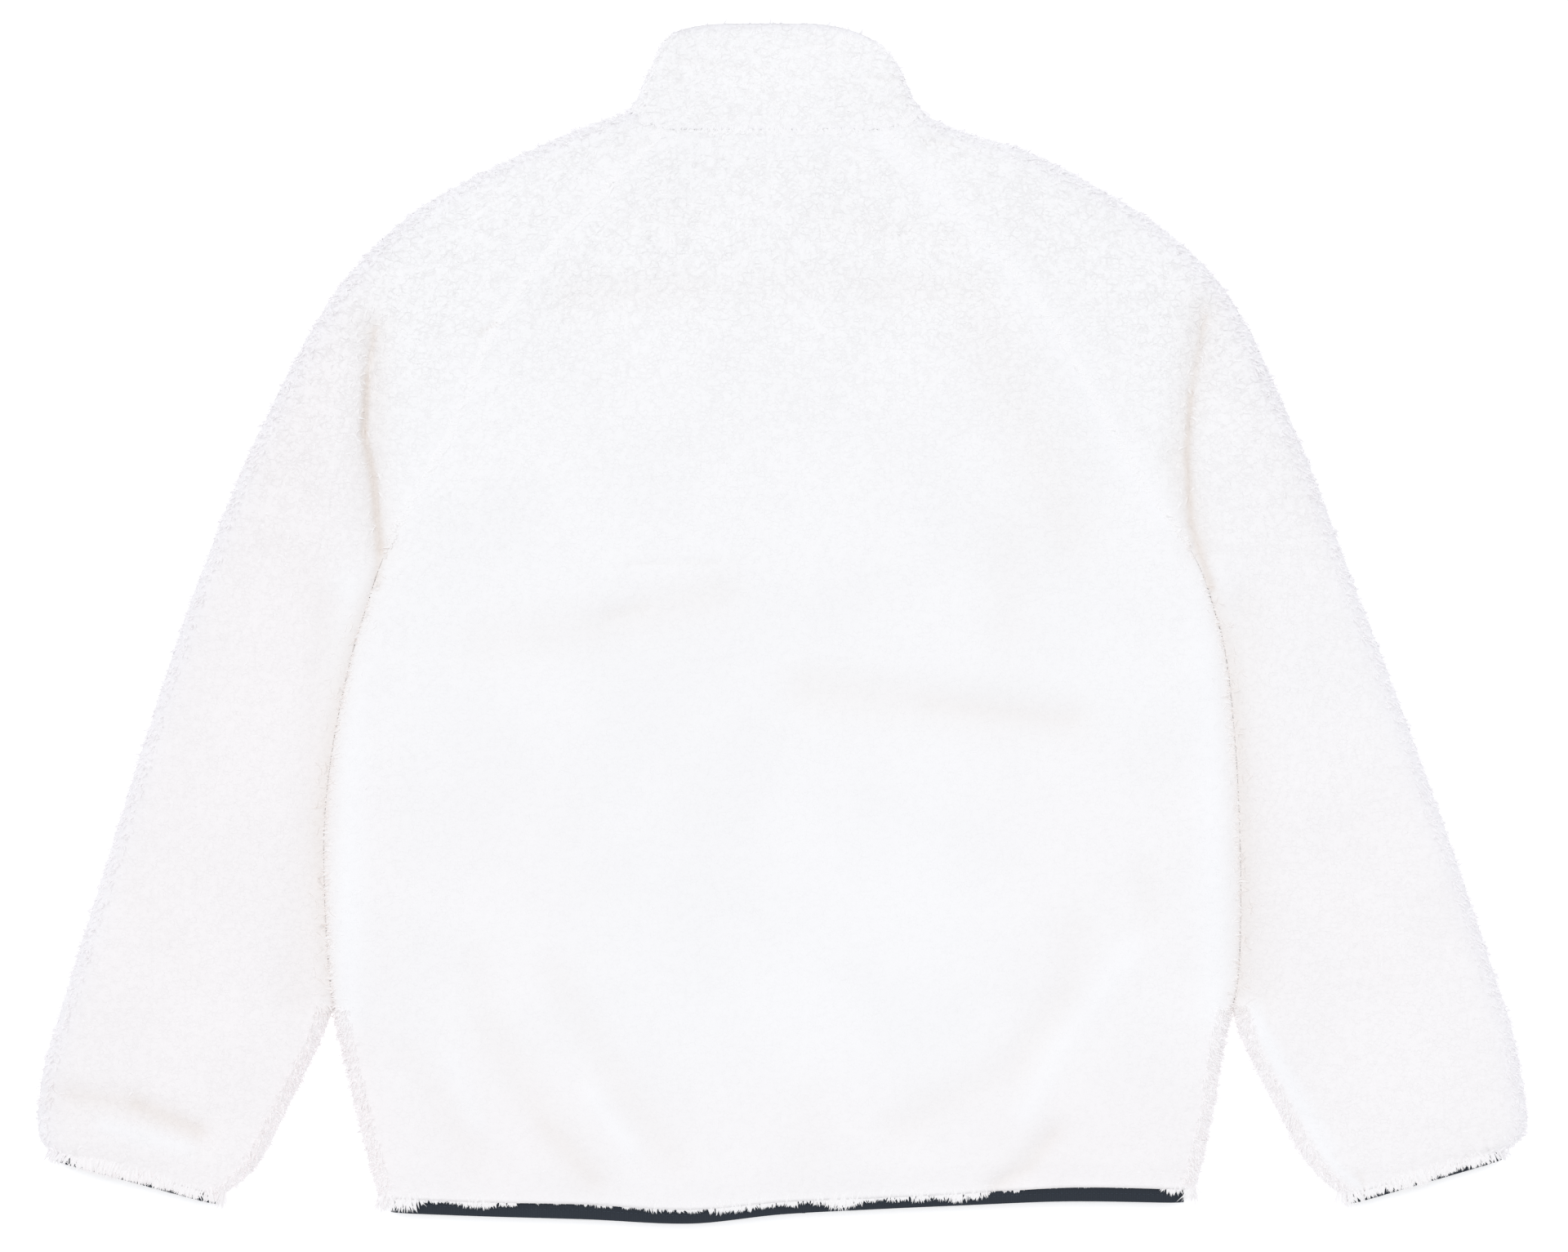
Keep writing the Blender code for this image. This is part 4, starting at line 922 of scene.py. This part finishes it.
leftBand, rightBand = cuffBandPlace(-1, leftPlace), cuffBandPlace(1, rightPlace)
backPiece, frontLeft, frontRight, sleeveLeft, sleeveRight, collarPiece = [
    makeShell(name, place, size, fleece, node) for name, place, size, node in (
        ("backPanel", backPlace, back, "back"),
        ("frontLeft", frontPlace(-1), fronts, "front_left"),
        ("frontRight", frontPlace(1), fronts, "front_right"),
        ("sleeveLeft", leftPlace, sleeves, "sleeve_left"),
        ("sleeveRight", rightPlace, sleeves, "sleeve_right"),
        ("standCollar", collarPlace, collar, "collar"),
    )
]
hemBand, cuffLeft, cuffRight = [
    makeShell(name, place, size, navy, node, False, 4) for name, place, size, node in (
        ("hemBinding", hemBandPlace, binding["hem"], "hem_binding"),
        ("cuffBindingLeft", leftBand, binding["cuff"], "cuff_binding_left"),
        ("cuffBindingRight", rightBand, binding["cuff"], "cuff_binding_right"),
    )
]
print("stage 3: shells made")


def lockMesh():     # one tapering lock with its root at 0 and its tip at 1 on Z
    mesh = bmesh.new()
    bmesh.ops.create_cone(mesh, cap_ends=True, segments=pile["sides"], radius1=0.5, radius2=0.0, depth=1.0)
    bmesh.ops.remove_doubles(mesh, verts=list(mesh.verts), dist=0.001)
    bmesh.ops.translate(mesh, verts=list(mesh.verts), vec=(0.0, 0.0, 0.5))
    long = [edge for edge in mesh.edges if abs(edge.verts[0].co.z - edge.verts[1].co.z) > 0.5]
    bmesh.ops.subdivide_edges(mesh, edges=long, cuts=pile["cuts"])
    bmesh.ops.triangulate(mesh, faces=list(mesh.faces))
    bmesh.ops.recalc_face_normals(mesh, faces=list(mesh.faces))
    return mesh


def repeatMesh(name, mesh, count):     # one mesh of many copies, by an array
    pattern = newObject(name + "One", meshData(name + "One", mesh))
    array = pattern.modifiers.new("array", "ARRAY")
    array.count = count
    array.use_relative_offset = False
    bpy.context.view_layer.update()
    many = bpy.data.meshes.new_from_object(pattern.evaluated_get(bpy.context.evaluated_depsgraph_get()))
    many.name = name
    bpy.data.objects.remove(pattern)
    return many, readPoints(many).reshape(count, -1, 3)


def makeLocks(name, *groups):     # places every copy by its root, heading and bend
    locks = {label: np.concatenate([group[label] for group in groups]) for label in groups[0]}
    many, shape = repeatMesh(name, lockMesh(), len(locks["root"]))
    across, thick, height = shape[..., 0:1], shape[..., 1:2], shape[..., 2:3]
    fuller = (1.0 + pile["belly"] * height * (1.0 - height)) * locks["width"][:, None, None]
    heading, bend = unit(locks["heading"]), locks["bend"]
    side = unit(np.cross(heading, bend + np.array([0.003, 0.002, 0.001])))
    up = np.cross(heading, side)
    length = locks["length"][:, None, None]
    points = locks["root"][:, None, :] + heading[:, None, :] * height * length
    points = points + bend[:, None, :] * height ** 2 * length
    points = points + (side[:, None, :] * across + up[:, None, :] * thick * pile["flatter"]) * fuller
    points[..., 2] = np.maximum(points[..., 2], 0.05)
    writePoints(many, points)
    many.shade_flat()     # smooth shading would darken such coarse locks along their sides
    for label, share in pile["tintShares"].items():
        storeValue(many, label, np.repeat(locks[label] * share, shape.shape[1]))
    return addPiece(name, many, tips)


def sampleSpots(place, count, random, acrossRange, alongRange):     # even over the cloth
    step, slack = 0.002, 0.35 / math.sqrt(count)
    number = np.arange(count)[:, None] * np.array([0.7548776662, 0.5698402910])     # strewn, not clustered
    even = (number + random.uniform(0.0, 1.0, 2) + random.uniform(-slack, slack, (count, 2))) % 1.0
    across, along = mix(*acrossRange, even[:, 0]), mix(*alongRange, even[:, 1])
    found = place(across, along)
    toSide = (place(across + step, along)["outer"] - found["outer"]) / step
    toTop = (place(across, along + step)["outer"] - found["outer"]) / step
    area = np.linalg.norm(np.cross(toSide, toTop), axis=1)
    kept = random.uniform(0.0, 1.0, count) < area / np.percentile(area, 97)
    spots = pick(found, kept)
    spots["away"] = unit(spots["outer"] - spots["inner"])
    spots["toSide"], spots["toTop"] = unit(toSide[kept]), unit(toTop[kept])
    return spots


def pick(spots, wanted):
    return {name: value[wanted] for name, value in spots.items()}


def lockSet(spots, random, size, root, heading, bend):     # draws the lengths and widths last
    length = random.uniform(*size["length"], len(root))
    width = random.uniform(*size["width"], len(root))
    return {"root": root, "heading": heading, "bend": bend, "length": length, "width": width, **tints(spots)}


curls = {
    "length": (3.8, 6.4),
    "width": (2.0, 3.2),
    "rise": (0.14, 0.36),    # sine of the angle at which a curl leaves the cloth
    "sunk": 0.95,            # depth of its root
    "calm": 0.3,             # added to the depth where the pile is least lively
    "besideSeam": 0.75,      # share of them that a seam leaves out
    "back": 24400,           # tries, of which the even ones stay
    "sleeve": 13000,
    "collar": 3600,
}


def surfaceCurls(name, place, tries, seed, acrossRange):
    random = np.random.default_rng(seed)
    spots = sampleSpots(place, tries, random, acrossRange, (0.004, 0.996))
    drawn = random.uniform(0.0, 1.0, len(spots["rise"]))
    spots = pick(spots, (drawn > curls["besideSeam"] * np.minimum(spots["seam"], 1.0)) & spots["upper"])
    count, away = len(spots["rise"]), spots["away"]
    angle = random.uniform(0.0, math.tau, count)[:, None]
    flat = spots["toSide"] * np.cos(angle) + spots["toTop"] * np.sin(angle)
    lively = livelyAt(spots["outer"])[:, None]
    rise = random.uniform(*curls["rise"], count)[:, None] * (0.5 + 0.5 * lively)
    return makeLocks(name, lockSet(
        spots, random, curls,
        root=spots["outer"] - away * (curls["sunk"] + curls["calm"] * (1.0 - lively)),
        heading=flat * np.sqrt(1.0 - rise ** 2) + away * rise,
        bend=-away * (rise * 0.85) + np.cross(flat, away) * random.uniform(-0.5, 0.5, (count, 1)),
    ))


seamPile = {
    "setBack": (0.6, 3.4),
    "sunk": 0.45,
    "rise": (0.02, 0.12),
    "length": (4.2, 7.0),
    "width": (2.2, 3.4),
}
edgePile = {
    "length": (3.3, 5.4),
    "width": (1.7, 2.8),
    "sunk": 1.5,
    "droop": 0.45,           # lean towards the hem
    "floorGap": 1.5,         # no lock starts lower
}
valleyPile = {**edgePile, "length": (4.0, 7.0)}


def edgeLocks(place, tries, random, acrossRange, alongRange):
    spots = sampleSpots(place, tries, random, acrossRange, alongRange)
    spots = pick(spots, (spots["rise"] < 0.93) & (spots["outer"][:, 2] > edgePile["floorGap"]))
    count = len(spots["rise"])
    loose = random.normal(0.0, 0.35, (count, 3))
    droop = -spots["toTop"] * edgePile["droop"] * random.uniform(0.0, 2.0, (count, 1))
    root = spots["outer"] - spots["away"] * edgePile["sunk"]
    return lockSet(spots, random, edgePile, root, spots["away"] + loose * 0.7, droop + loose * 0.4)


def valleyLocks(place, random, acrossRange):     # level locks that close the gap at a side
    spots = sampleSpots(place, 3000, random, acrossRange, (0.13, 0.63))
    spots = pick(spots, (spots["rise"] < 0.8) & spots["upper"])
    count = len(spots["rise"])
    level = spots["away"] * np.array([1.0, 1.0, 0.0])
    loose = random.normal(0.0, 0.3, (count, 3)) * np.array([1.0, 1.0, 0.35])
    droop = spots["toTop"] * valleyPile["droop"] * random.uniform(0.0, 1.6, (count, 1))
    root = spots["outer"] - spots["away"] * valleyPile["sunk"]
    return lockSet(spots, random, valleyPile, root, unit(level) + loose - droop, loose * 0.3)


def seamLocks(place, random, count, border, span):     # flat locks that cross a seam
    between = random.uniform(*span, count)
    fixed, inward = (0.0, 0.002) if border in ("left", "bottom") else (1.0, -0.002)
    onEdge, onCloth = np.full(count, fixed), np.full(count, fixed + inward)
    if border in ("left", "right"):
        edge, inner = place(onEdge, between), place(onCloth, between)
    else:
        edge, inner = place(between, onEdge), place(between, onCloth)
    back = unit(inner["outer"] - edge["outer"])
    away = unit(edge["outer"] - edge["inner"]) * np.array([0.0, 0.0, 1.0]) + np.array([0.0, 0.0, 0.001])
    away = unit(away)
    setBack = random.uniform(*seamPile["setBack"], (count, 1))
    loose = random.normal(0.0, 0.35, (count, 3)) * np.array([1.0, 1.0, 0.0])
    root = edge["outer"] + back * setBack - away * seamPile["sunk"]
    heading = -back + loose + away * random.uniform(*seamPile["rise"], (count, 1))
    return pick(lockSet(edge, random, seamPile, root, heading, -away * 0.1 + loose * 0.3), edge["upper"])


marks = sleeves["marks"]
onUpper, onEdge = (0.002, marks[3]), (marks[2], marks[4])     # parts of a sleeve's section
backSides = (0.0, back["rollShare"]), (1.0 - back["rollShare"], 1.0)
whole, lowest = (0.0, 1.0), (0.0, 0.18)
curlsBack = surfaceCurls("curlsBack", backPlace, curls["back"], 11, (0.004, 0.996))
curlsLeft = surfaceCurls("curlsSleeveLeft", leftPlace, curls["sleeve"], 12, onUpper)
curlsRight = surfaceCurls("curlsSleeveRight", rightPlace, curls["sleeve"], 13, onUpper)
curlsCollar = surfaceCurls("curlsCollar", collarPlace, curls["collar"], 14, whole)

random = np.random.default_rng(21)
edgeBack = makeLocks(
    "edgePileBack",
    *[edgeLocks(backPlace, 1300, random, side, lowest) for side in backSides],
    *[valleyLocks(backPlace, random, side) for side in backSides],
)
for place, name in ((leftPlace, "edgePileLeft"), (rightPlace, "edgePileRight")):
    outward = edgeLocks(place, 5200, random, onEdge, (0.0, 0.998))
    makeLocks(name, outward, edgeLocks(place, 1300, random, (0.0, marks[1]), lowest))
edgeCollar = makeLocks("edgePileCollar", edgeLocks(collarPlace, 2600, random, whole, (0.02, 0.99)))
print("stage 4: pile made")

random = np.random.default_rng(41)
seamBack = makeLocks(
    "seamPileBack",
    seamLocks(backPlace, random, 700, "left", (0.6, 1.0)),
    seamLocks(backPlace, random, 700, "right", (0.6, 1.0)),
    seamLocks(backPlace, random, 150, "top", whole),
)
for place, name in ((leftPlace, "seamPileLeft"), (rightPlace, "seamPileRight")):
    raglan = seamLocks(place, random, 420, "left", (0.61, 1.0))
    makeLocks(name, raglan, seamLocks(place, random, 90, "top", (0.0, marks[3])))
seamCollar = makeLocks("seamPileCollar", seamLocks(collarPlace, random, 380, "bottom", whole))

fringe = {
    "spacing": 0.55,         # between strands along the edge
    "width": (1.3, 2.3),
    "setBack": (0.0, 7.0),   # how far up the cloth a strand starts
    "uneven": 1.5,           # spread of the tips
    "longer": 1.0,
    "least": 0.8,
    "slope": 0.26,
    "tuft": 6.0,             # length along the edge over which the strands hang together
    "tuftDepth": 3.0,
    # place across the back, height at which the pile ends over the binding
    "hem": np.array([
        (-262, -383), (-250, -382.5), (-240, -381.4), (-228, -376), (-215, -377), (-200, -379.8),
        (-180, -377.7), (-160, -376.6), (-140, -376), (-120, -378.2), (-100, -380.3), (-80, -381.9),
        (-60, -382.2), (-40, -383.2), (-20, -381), (0, -377.4), (20, -377.7), (40, -380.6),
        (60, -375), (80, -375.3), (100, -375), (120, -374.6), (140, -371.4), (156, -367.8),
        (168, -363.2), (180, -363.6), (198, -365), (214, -362.4), (228, -362.6), (240, -365.6),
        (252, -370.4), (261, -370), (269, -377),
    ]),
    # share of the way across the cuff from its inner end, how far the pile hangs past the fleece
    "cuffLeft": np.array([
        (0.0, 9.0), (0.10, 7.6), (0.2, 6.6), (0.3, 7.4), (0.4, 6.4), (0.5, 7.4),
        (0.62, 7.8), (0.72, 8.0), (0.85, 7.2), (0.95, 8.2), (1.0, 9.0),
    ]),
    "cuffRight": np.array([
        (0.0, 9.0), (0.06, 6.2), (0.14, 4.4), (0.24, 5.8), (0.34, 7.2), (0.46, 6.8),
        (0.58, 5.2), (0.68, 3.4), (0.76, 4.2), (0.88, 7.0), (1.0, 8.6),
    ]),
}


def fringeLocks(place, random, acrossRange, heading, reachAt):     # strands that hang over an edge
    ends = place(np.array(acrossRange), np.zeros(2))["outer"]
    count = int(np.linalg.norm(ends[1] - ends[0]) / fringe["spacing"])
    across = random.uniform(*acrossRange, count)
    setBack = random.uniform(*fringe["setBack"], count) * random.uniform(0.3, 1.0, count)
    step = 0.002
    low, high = place(across, np.zeros(count)), place(across, np.full(count, step))
    perStep = np.linalg.norm(high["outer"] - low["outer"], axis=1)
    found = place(across, setBack / perStep * step)
    away = unit(found["outer"] - found["inner"])
    size = fringe["tuft"]
    tuft = np.array([noise.noise(Vector((x / size, y / size, 3.7))) for x, y, z in low["outer"]])
    reach = reachAt(across, low["outer"]) + fringe["longer"] + tuft * fringe["tuftDepth"]
    reach = reach - np.abs(random.normal(0.0, fringe["uneven"], count))
    toEdge = np.sum((low["outer"] - found["outer"]) * heading, axis=1)
    length = np.maximum(fringe["least"], toEdge + reach)
    slope = random.normal(0.0, fringe["slope"], (count, 1)) * np.cross(heading, [0.0, 0.0, 1.0])
    drop = -1.6 / length[:, None] * np.array([0.0, 0.0, 1.0])
    return {
        "root": found["outer"] - away * 0.6,
        "heading": np.tile(heading, (count, 1)) + slope + away * 0.12,
        "bend": drop + slope * 0.4,
        "length": length,
        "width": random.uniform(*fringe["width"], count) * np.minimum(1.0, length / 3.0),
        **tints(found),
    }


def hemReach(across, edge):
    return edge[:, 1] - np.interp(edge[:, 0], fringe["hem"][:, 0], fringe["hem"][:, 1])


def cuffReach(table):
    def reach(across, edge):
        return np.interp(across / marks[4], table[:, 0], table[:, 1])
    return reach


def cuffHeading(side, place):
    ends = place(np.array([0.02, marks[2]]), np.zeros(2))["outer"]
    heading = unit(ends[1] - ends[0])
    return np.array([side * abs(heading[1]), -abs(heading[0]), 0.0])


random = np.random.default_rng(31)
down = np.array([0.0, -1.0, 0.0])
hemRows = [fringeLocks(backPlace, random, (0.004, 0.996), down, hemReach) for row in range(2)]
fringeHem = makeLocks("fringeHem", *hemRows)
for side, place, name, table in (
    (-1, leftPlace, "fringeCuffLeft", fringe["cuffLeft"]),
    (1, rightPlace, "fringeCuffRight", fringe["cuffRight"]),
):
    outward, reach = cuffHeading(side, place), cuffReach(table)
    cuffRows = [fringeLocks(place, random, onUpper, outward, reach) for row in range(3)]
    makeLocks(name, *cuffRows)

stitches = {
    "length": 2.3,
    "thick": 0.5,
    "pitch": 3.1,
    "row": 0.42,             # share of the binding's height
}


def threadMaterial():
    material, tree, shader, place = newMaterial("thread", {"Roughness": 0.6})
    twist = waveAt(tree, place, "DIAGONAL", 1400.0, 1.0)
    color = blendColor(tree, twist, (0.020, 0.032, 0.048, 1.0), (0.045, 0.062, 0.085, 1.0))
    finishSurface(tree, shader, color)
    return material


def makeStitches(name, place, length):
    count = int(length / stitches["pitch"])
    across = (np.arange(count) + 0.5) / count
    found = place(across, np.full(count, stitches["row"]))
    ahead = place(np.minimum(across + 0.001, 1.0), np.full(count, stitches["row"]))
    along = unit(ahead["outer"] - found["outer"])[:, None, :]
    away = unit(found["outer"] - found["inner"])[:, None, :]
    mesh = bmesh.new()
    bmesh.ops.create_icosphere(mesh, subdivisions=1, radius=0.5)
    many, shape = repeatMesh(name, mesh, count)
    points = found["outer"][:, None, :] + away * stitches["thick"] * 0.15
    points = points + along * shape[..., 0:1] * stitches["length"]
    points = points + (np.cross(away, along) * shape[..., 1:2] + away * shape[..., 2:3]) * stitches["thick"]
    points[..., 2] = np.maximum(points[..., 2], 0.0)
    writePoints(many, points)
    many.shade_smooth()
    return addPiece(name, many, thread)


thread = threadMaterial()
stitchHem = makeStitches("stitchesHem", hemBandPlace, 1085.0)
stitchCuffLeft = makeStitches("stitchesCuffLeft", leftBand, 250.0)
stitchCuffRight = makeStitches("stitchesCuffRight", rightBand, 250.0)

zipper = {
    "bottom": -384.0,
    "top": 330.0,
    "tapeHalf": 15.0,
    "tapeInside": 0.25,
    "tapeBase": 4.95,
    "tapeWall": 0.7,
    "tapeColumns": 10,
    "tapeRows": 240,
    "toothPitch": 2.0,
    "toothRadius": 0.42,
    "toothInside": -0.55,    # teeth reach past the centre line
    "toothOutside": 2.85,
    "toothHeight": 4.5,
    "toothStart": 9.5,       # above the bottom, clear of the stop
    "toothEnd": 10.0,
    "headRadius": 0.55,
}


def tapeMaterial():
    material, tree, shader, place = newMaterial("zipTape", {"Roughness": 0.75})
    weft, warp = waveAt(tree, place, "Y", 520.0, 0.3), waveAt(tree, place, "X", 420.0, 0.3)
    weave = maths(tree, "MULTIPLY", weft, warp)
    color = blendColor(tree, weave, (0.013, 0.022, 0.034, 1.0), (0.032, 0.048, 0.068, 1.0))
    finishSurface(tree, shader, color, weave, 0.0002, 0.7)
    return material


def coilMaterial():
    material, tree, shader, place = newMaterial("zipCoil", {})
    speck = noiseAt(tree, place, 700.0, 2.0)
    color = blendColor(tree, speck, (0.012, 0.018, 0.026, 1.0), (0.024, 0.032, 0.044, 1.0))
    finishSurface(tree, shader, color)
    tree.links.new(mapRange(tree, speck, 0.3, 0.7, 0.32, 0.48), shader.inputs["Roughness"])
    return material


def metalMaterial():
    material, tree, shader, place = newMaterial("zipMetal", {"Metallic": 0.9})
    worn = noiseAt(tree, place, 420.0, 4.0)
    bare = mapRange(tree, worn, 0.45, 0.7)
    color = blendColor(tree, bare, (0.085, 0.085, 0.095, 1.0), (0.16, 0.16, 0.17, 1.0))
    finishSurface(tree, shader, color, worn, 0.00005, 0.4)
    tree.links.new(mapRange(tree, worn, 0.3, 0.7, 0.28, 0.45), shader.inputs["Roughness"])
    return material


def makeTape(name, side, node):
    mesh = bmesh.new()
    bmesh.ops.create_grid(mesh, x_segments=zipper["tapeColumns"], y_segments=zipper["tapeRows"], size=1.0)
    for vert in mesh.verts:
        x = mix(zipper["tapeInside"], zipper["tapeHalf"], (vert.co.x + 1.0) / 2.0)
        y = mix(zipper["bottom"], zipper["top"], (vert.co.y + 1.0) / 2.0)
        vert.co = Vector((side * x, y, zipper["tapeBase"])) * mm
    if side < 0:
        bmesh.ops.reverse_faces(mesh, faces=list(mesh.faces))
    bmesh.ops.solidify(mesh, geom=list(mesh.faces), thickness=-zipper["tapeWall"] * mm)
    bmesh.ops.recalc_face_normals(mesh, faces=list(mesh.faces))
    return addPiece(name, meshData(name, mesh), tape, replaces=(node,))


def makeCoil(name, side):
    mesh = bmesh.new()
    length, radius = zipper["toothOutside"] - zipper["toothInside"], zipper["toothRadius"]
    middle = Matrix.Translation((zipper["toothInside"] + length / 2.0, 0.0, 0.0))
    bmesh.ops.create_cone(
        mesh, cap_ends=True, segments=6, radius1=radius, radius2=radius, depth=length,
        matrix=middle @ Matrix.Rotation(math.pi / 2.0, 4, "Y"),
    )
    head = Matrix.Translation((zipper["toothInside"], 0.0, 0.0))
    bmesh.ops.create_icosphere(mesh, subdivisions=1, radius=zipper["headRadius"], matrix=head)
    if side < 0:
        bmesh.ops.scale(mesh, verts=list(mesh.verts), vec=(-1.0, 1.0, 1.0))
        bmesh.ops.reverse_faces(mesh, faces=list(mesh.faces))
    pitch = zipper["toothPitch"]
    count = int((zipper["top"] - zipper["bottom"] - zipper["toothEnd"]) / pitch)
    many, points = repeatMesh(name, mesh, count)
    start = zipper["bottom"] + zipper["toothStart"] + (0.5 if side > 0 else 0.0) * pitch
    points[..., 1] += (start + np.arange(count) * pitch)[:, None]
    points[..., 2] += zipper["toothHeight"]
    writePoints(many, points)
    return addPiece(name, many, coil)


def polishedCopy(name, node, body, bevel):     # the same shape with its edges rounded
    mesh = bmesh.new()
    mesh.from_mesh(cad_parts[node].data)
    bmesh.ops.remove_doubles(mesh, verts=list(mesh.verts), dist=0.00001)
    level, corner = math.radians(2.0), math.radians(40.0)
    bmesh.ops.dissolve_limit(mesh, angle_limit=level, verts=list(mesh.verts), edges=list(mesh.edges))
    sharp = [edge for edge in mesh.edges if edge.is_manifold and edge.calc_face_angle(0.0) > corner]
    bmesh.ops.bevel(
        mesh, geom=sharp, affect="EDGES", offset=bevel * mm, segments=2, profile=0.5, material=-1,
        clamp_overlap=True,
    )
    data = meshData(name, mesh)
    data.shade_smooth()
    data.set_sharp_from_angle(angle=math.radians(35.0))
    return addPiece(name, data, metal, body, (node,))


tape, coil, metal = tapeMaterial(), coilMaterial(), metalMaterial()
tapeLeft = makeTape("zipTapeLeft", -1, "zip_tape_left")
tapeRight = makeTape("zipTapeRight", 1, "zip_tape_right")
makeCoil("zipCoilLeft", -1)
makeCoil("zipCoilRight", 1)
polishedCopy("zipSlider", "zip_slider", "jacket", 0.18)
polishedCopy("zipPullTab", "zip_pull_tab", "pull_tab", 0.18)
polishedCopy("zipStop", "zip_stop", "jacket", 0.25)

print("stage 5: fringe, stitches and zip made")

stage = {
    "photoWide": 1.0176,     # metres across the picture at the jacket's height
    "aim": (0.0013, -0.0011, 0.017),
    "lens": 85.0,
    "sensor": 36.0,
    "floorSize": 12.0,
    "sun": 0.82,
    "sunAngle": 70.0,
    "bounces": 16,           # white pile passes light on many times
    "dome": 0.76,
}


def addCamera():
    data = bpy.data.cameras.new("camera")
    data.lens = stage["lens"]
    data.sensor_width = stage["sensor"]
    data.clip_end = 50.0
    camera = newObject("camera", data)
    away = stage["photoWide"] * stage["lens"] / stage["sensor"]
    camera.location = Vector(stage["aim"]) + Vector((0.0, 0.0, away))
    bpy.context.scene.camera = camera


def addFloor():
    mesh = bmesh.new()
    bmesh.ops.create_grid(mesh, x_segments=1, y_segments=1, size=stage["floorSize"] / 2)
    bmesh.ops.translate(mesh, verts=list(mesh.verts), vec=(0.0, 0.0, -0.0002))
    data = meshData("floor", mesh)
    sockets = {"Base Color": (0.95, 0.95, 0.95, 1.0), "Roughness": 0.9, "Specular IOR Level": 0.0}
    glow = {"Emission Color": (1.0, 1.0, 1.0, 1.0), "Emission Strength": 0.3}
    data.materials.append(newMaterial("floor", {**sockets, **glow})[0])
    floor = newObject("floor", data)


def addLights():
    data = bpy.data.lights.new("softbox", "SUN")
    data.energy = stage["sun"]
    data.angle = math.radians(stage["sunAngle"])
    data.color = (0.985, 0.99, 1.0)
    light = newObject("softbox", data)
    light.rotation_euler = (math.radians(-12.0), math.radians(-8.0), 0.0)
    world = bpy.data.worlds.new("studio")
    world.use_nodes = True
    background = world.node_tree.nodes["Background"]
    background.inputs["Color"].default_value = (0.962, 0.972, 1.0, 1.0)
    background.inputs["Strength"].default_value = stage["dome"]
    bpy.context.scene.world = world


addCamera()
addFloor()
addLights()
bpy.context.scene.view_settings.view_transform = "Standard"
bpy.context.scene.cycles.max_bounces = stage["bounces"]
bpy.context.scene.cycles.diffuse_bounces = stage["bounces"]
print("stage 6: camera, floor and light")
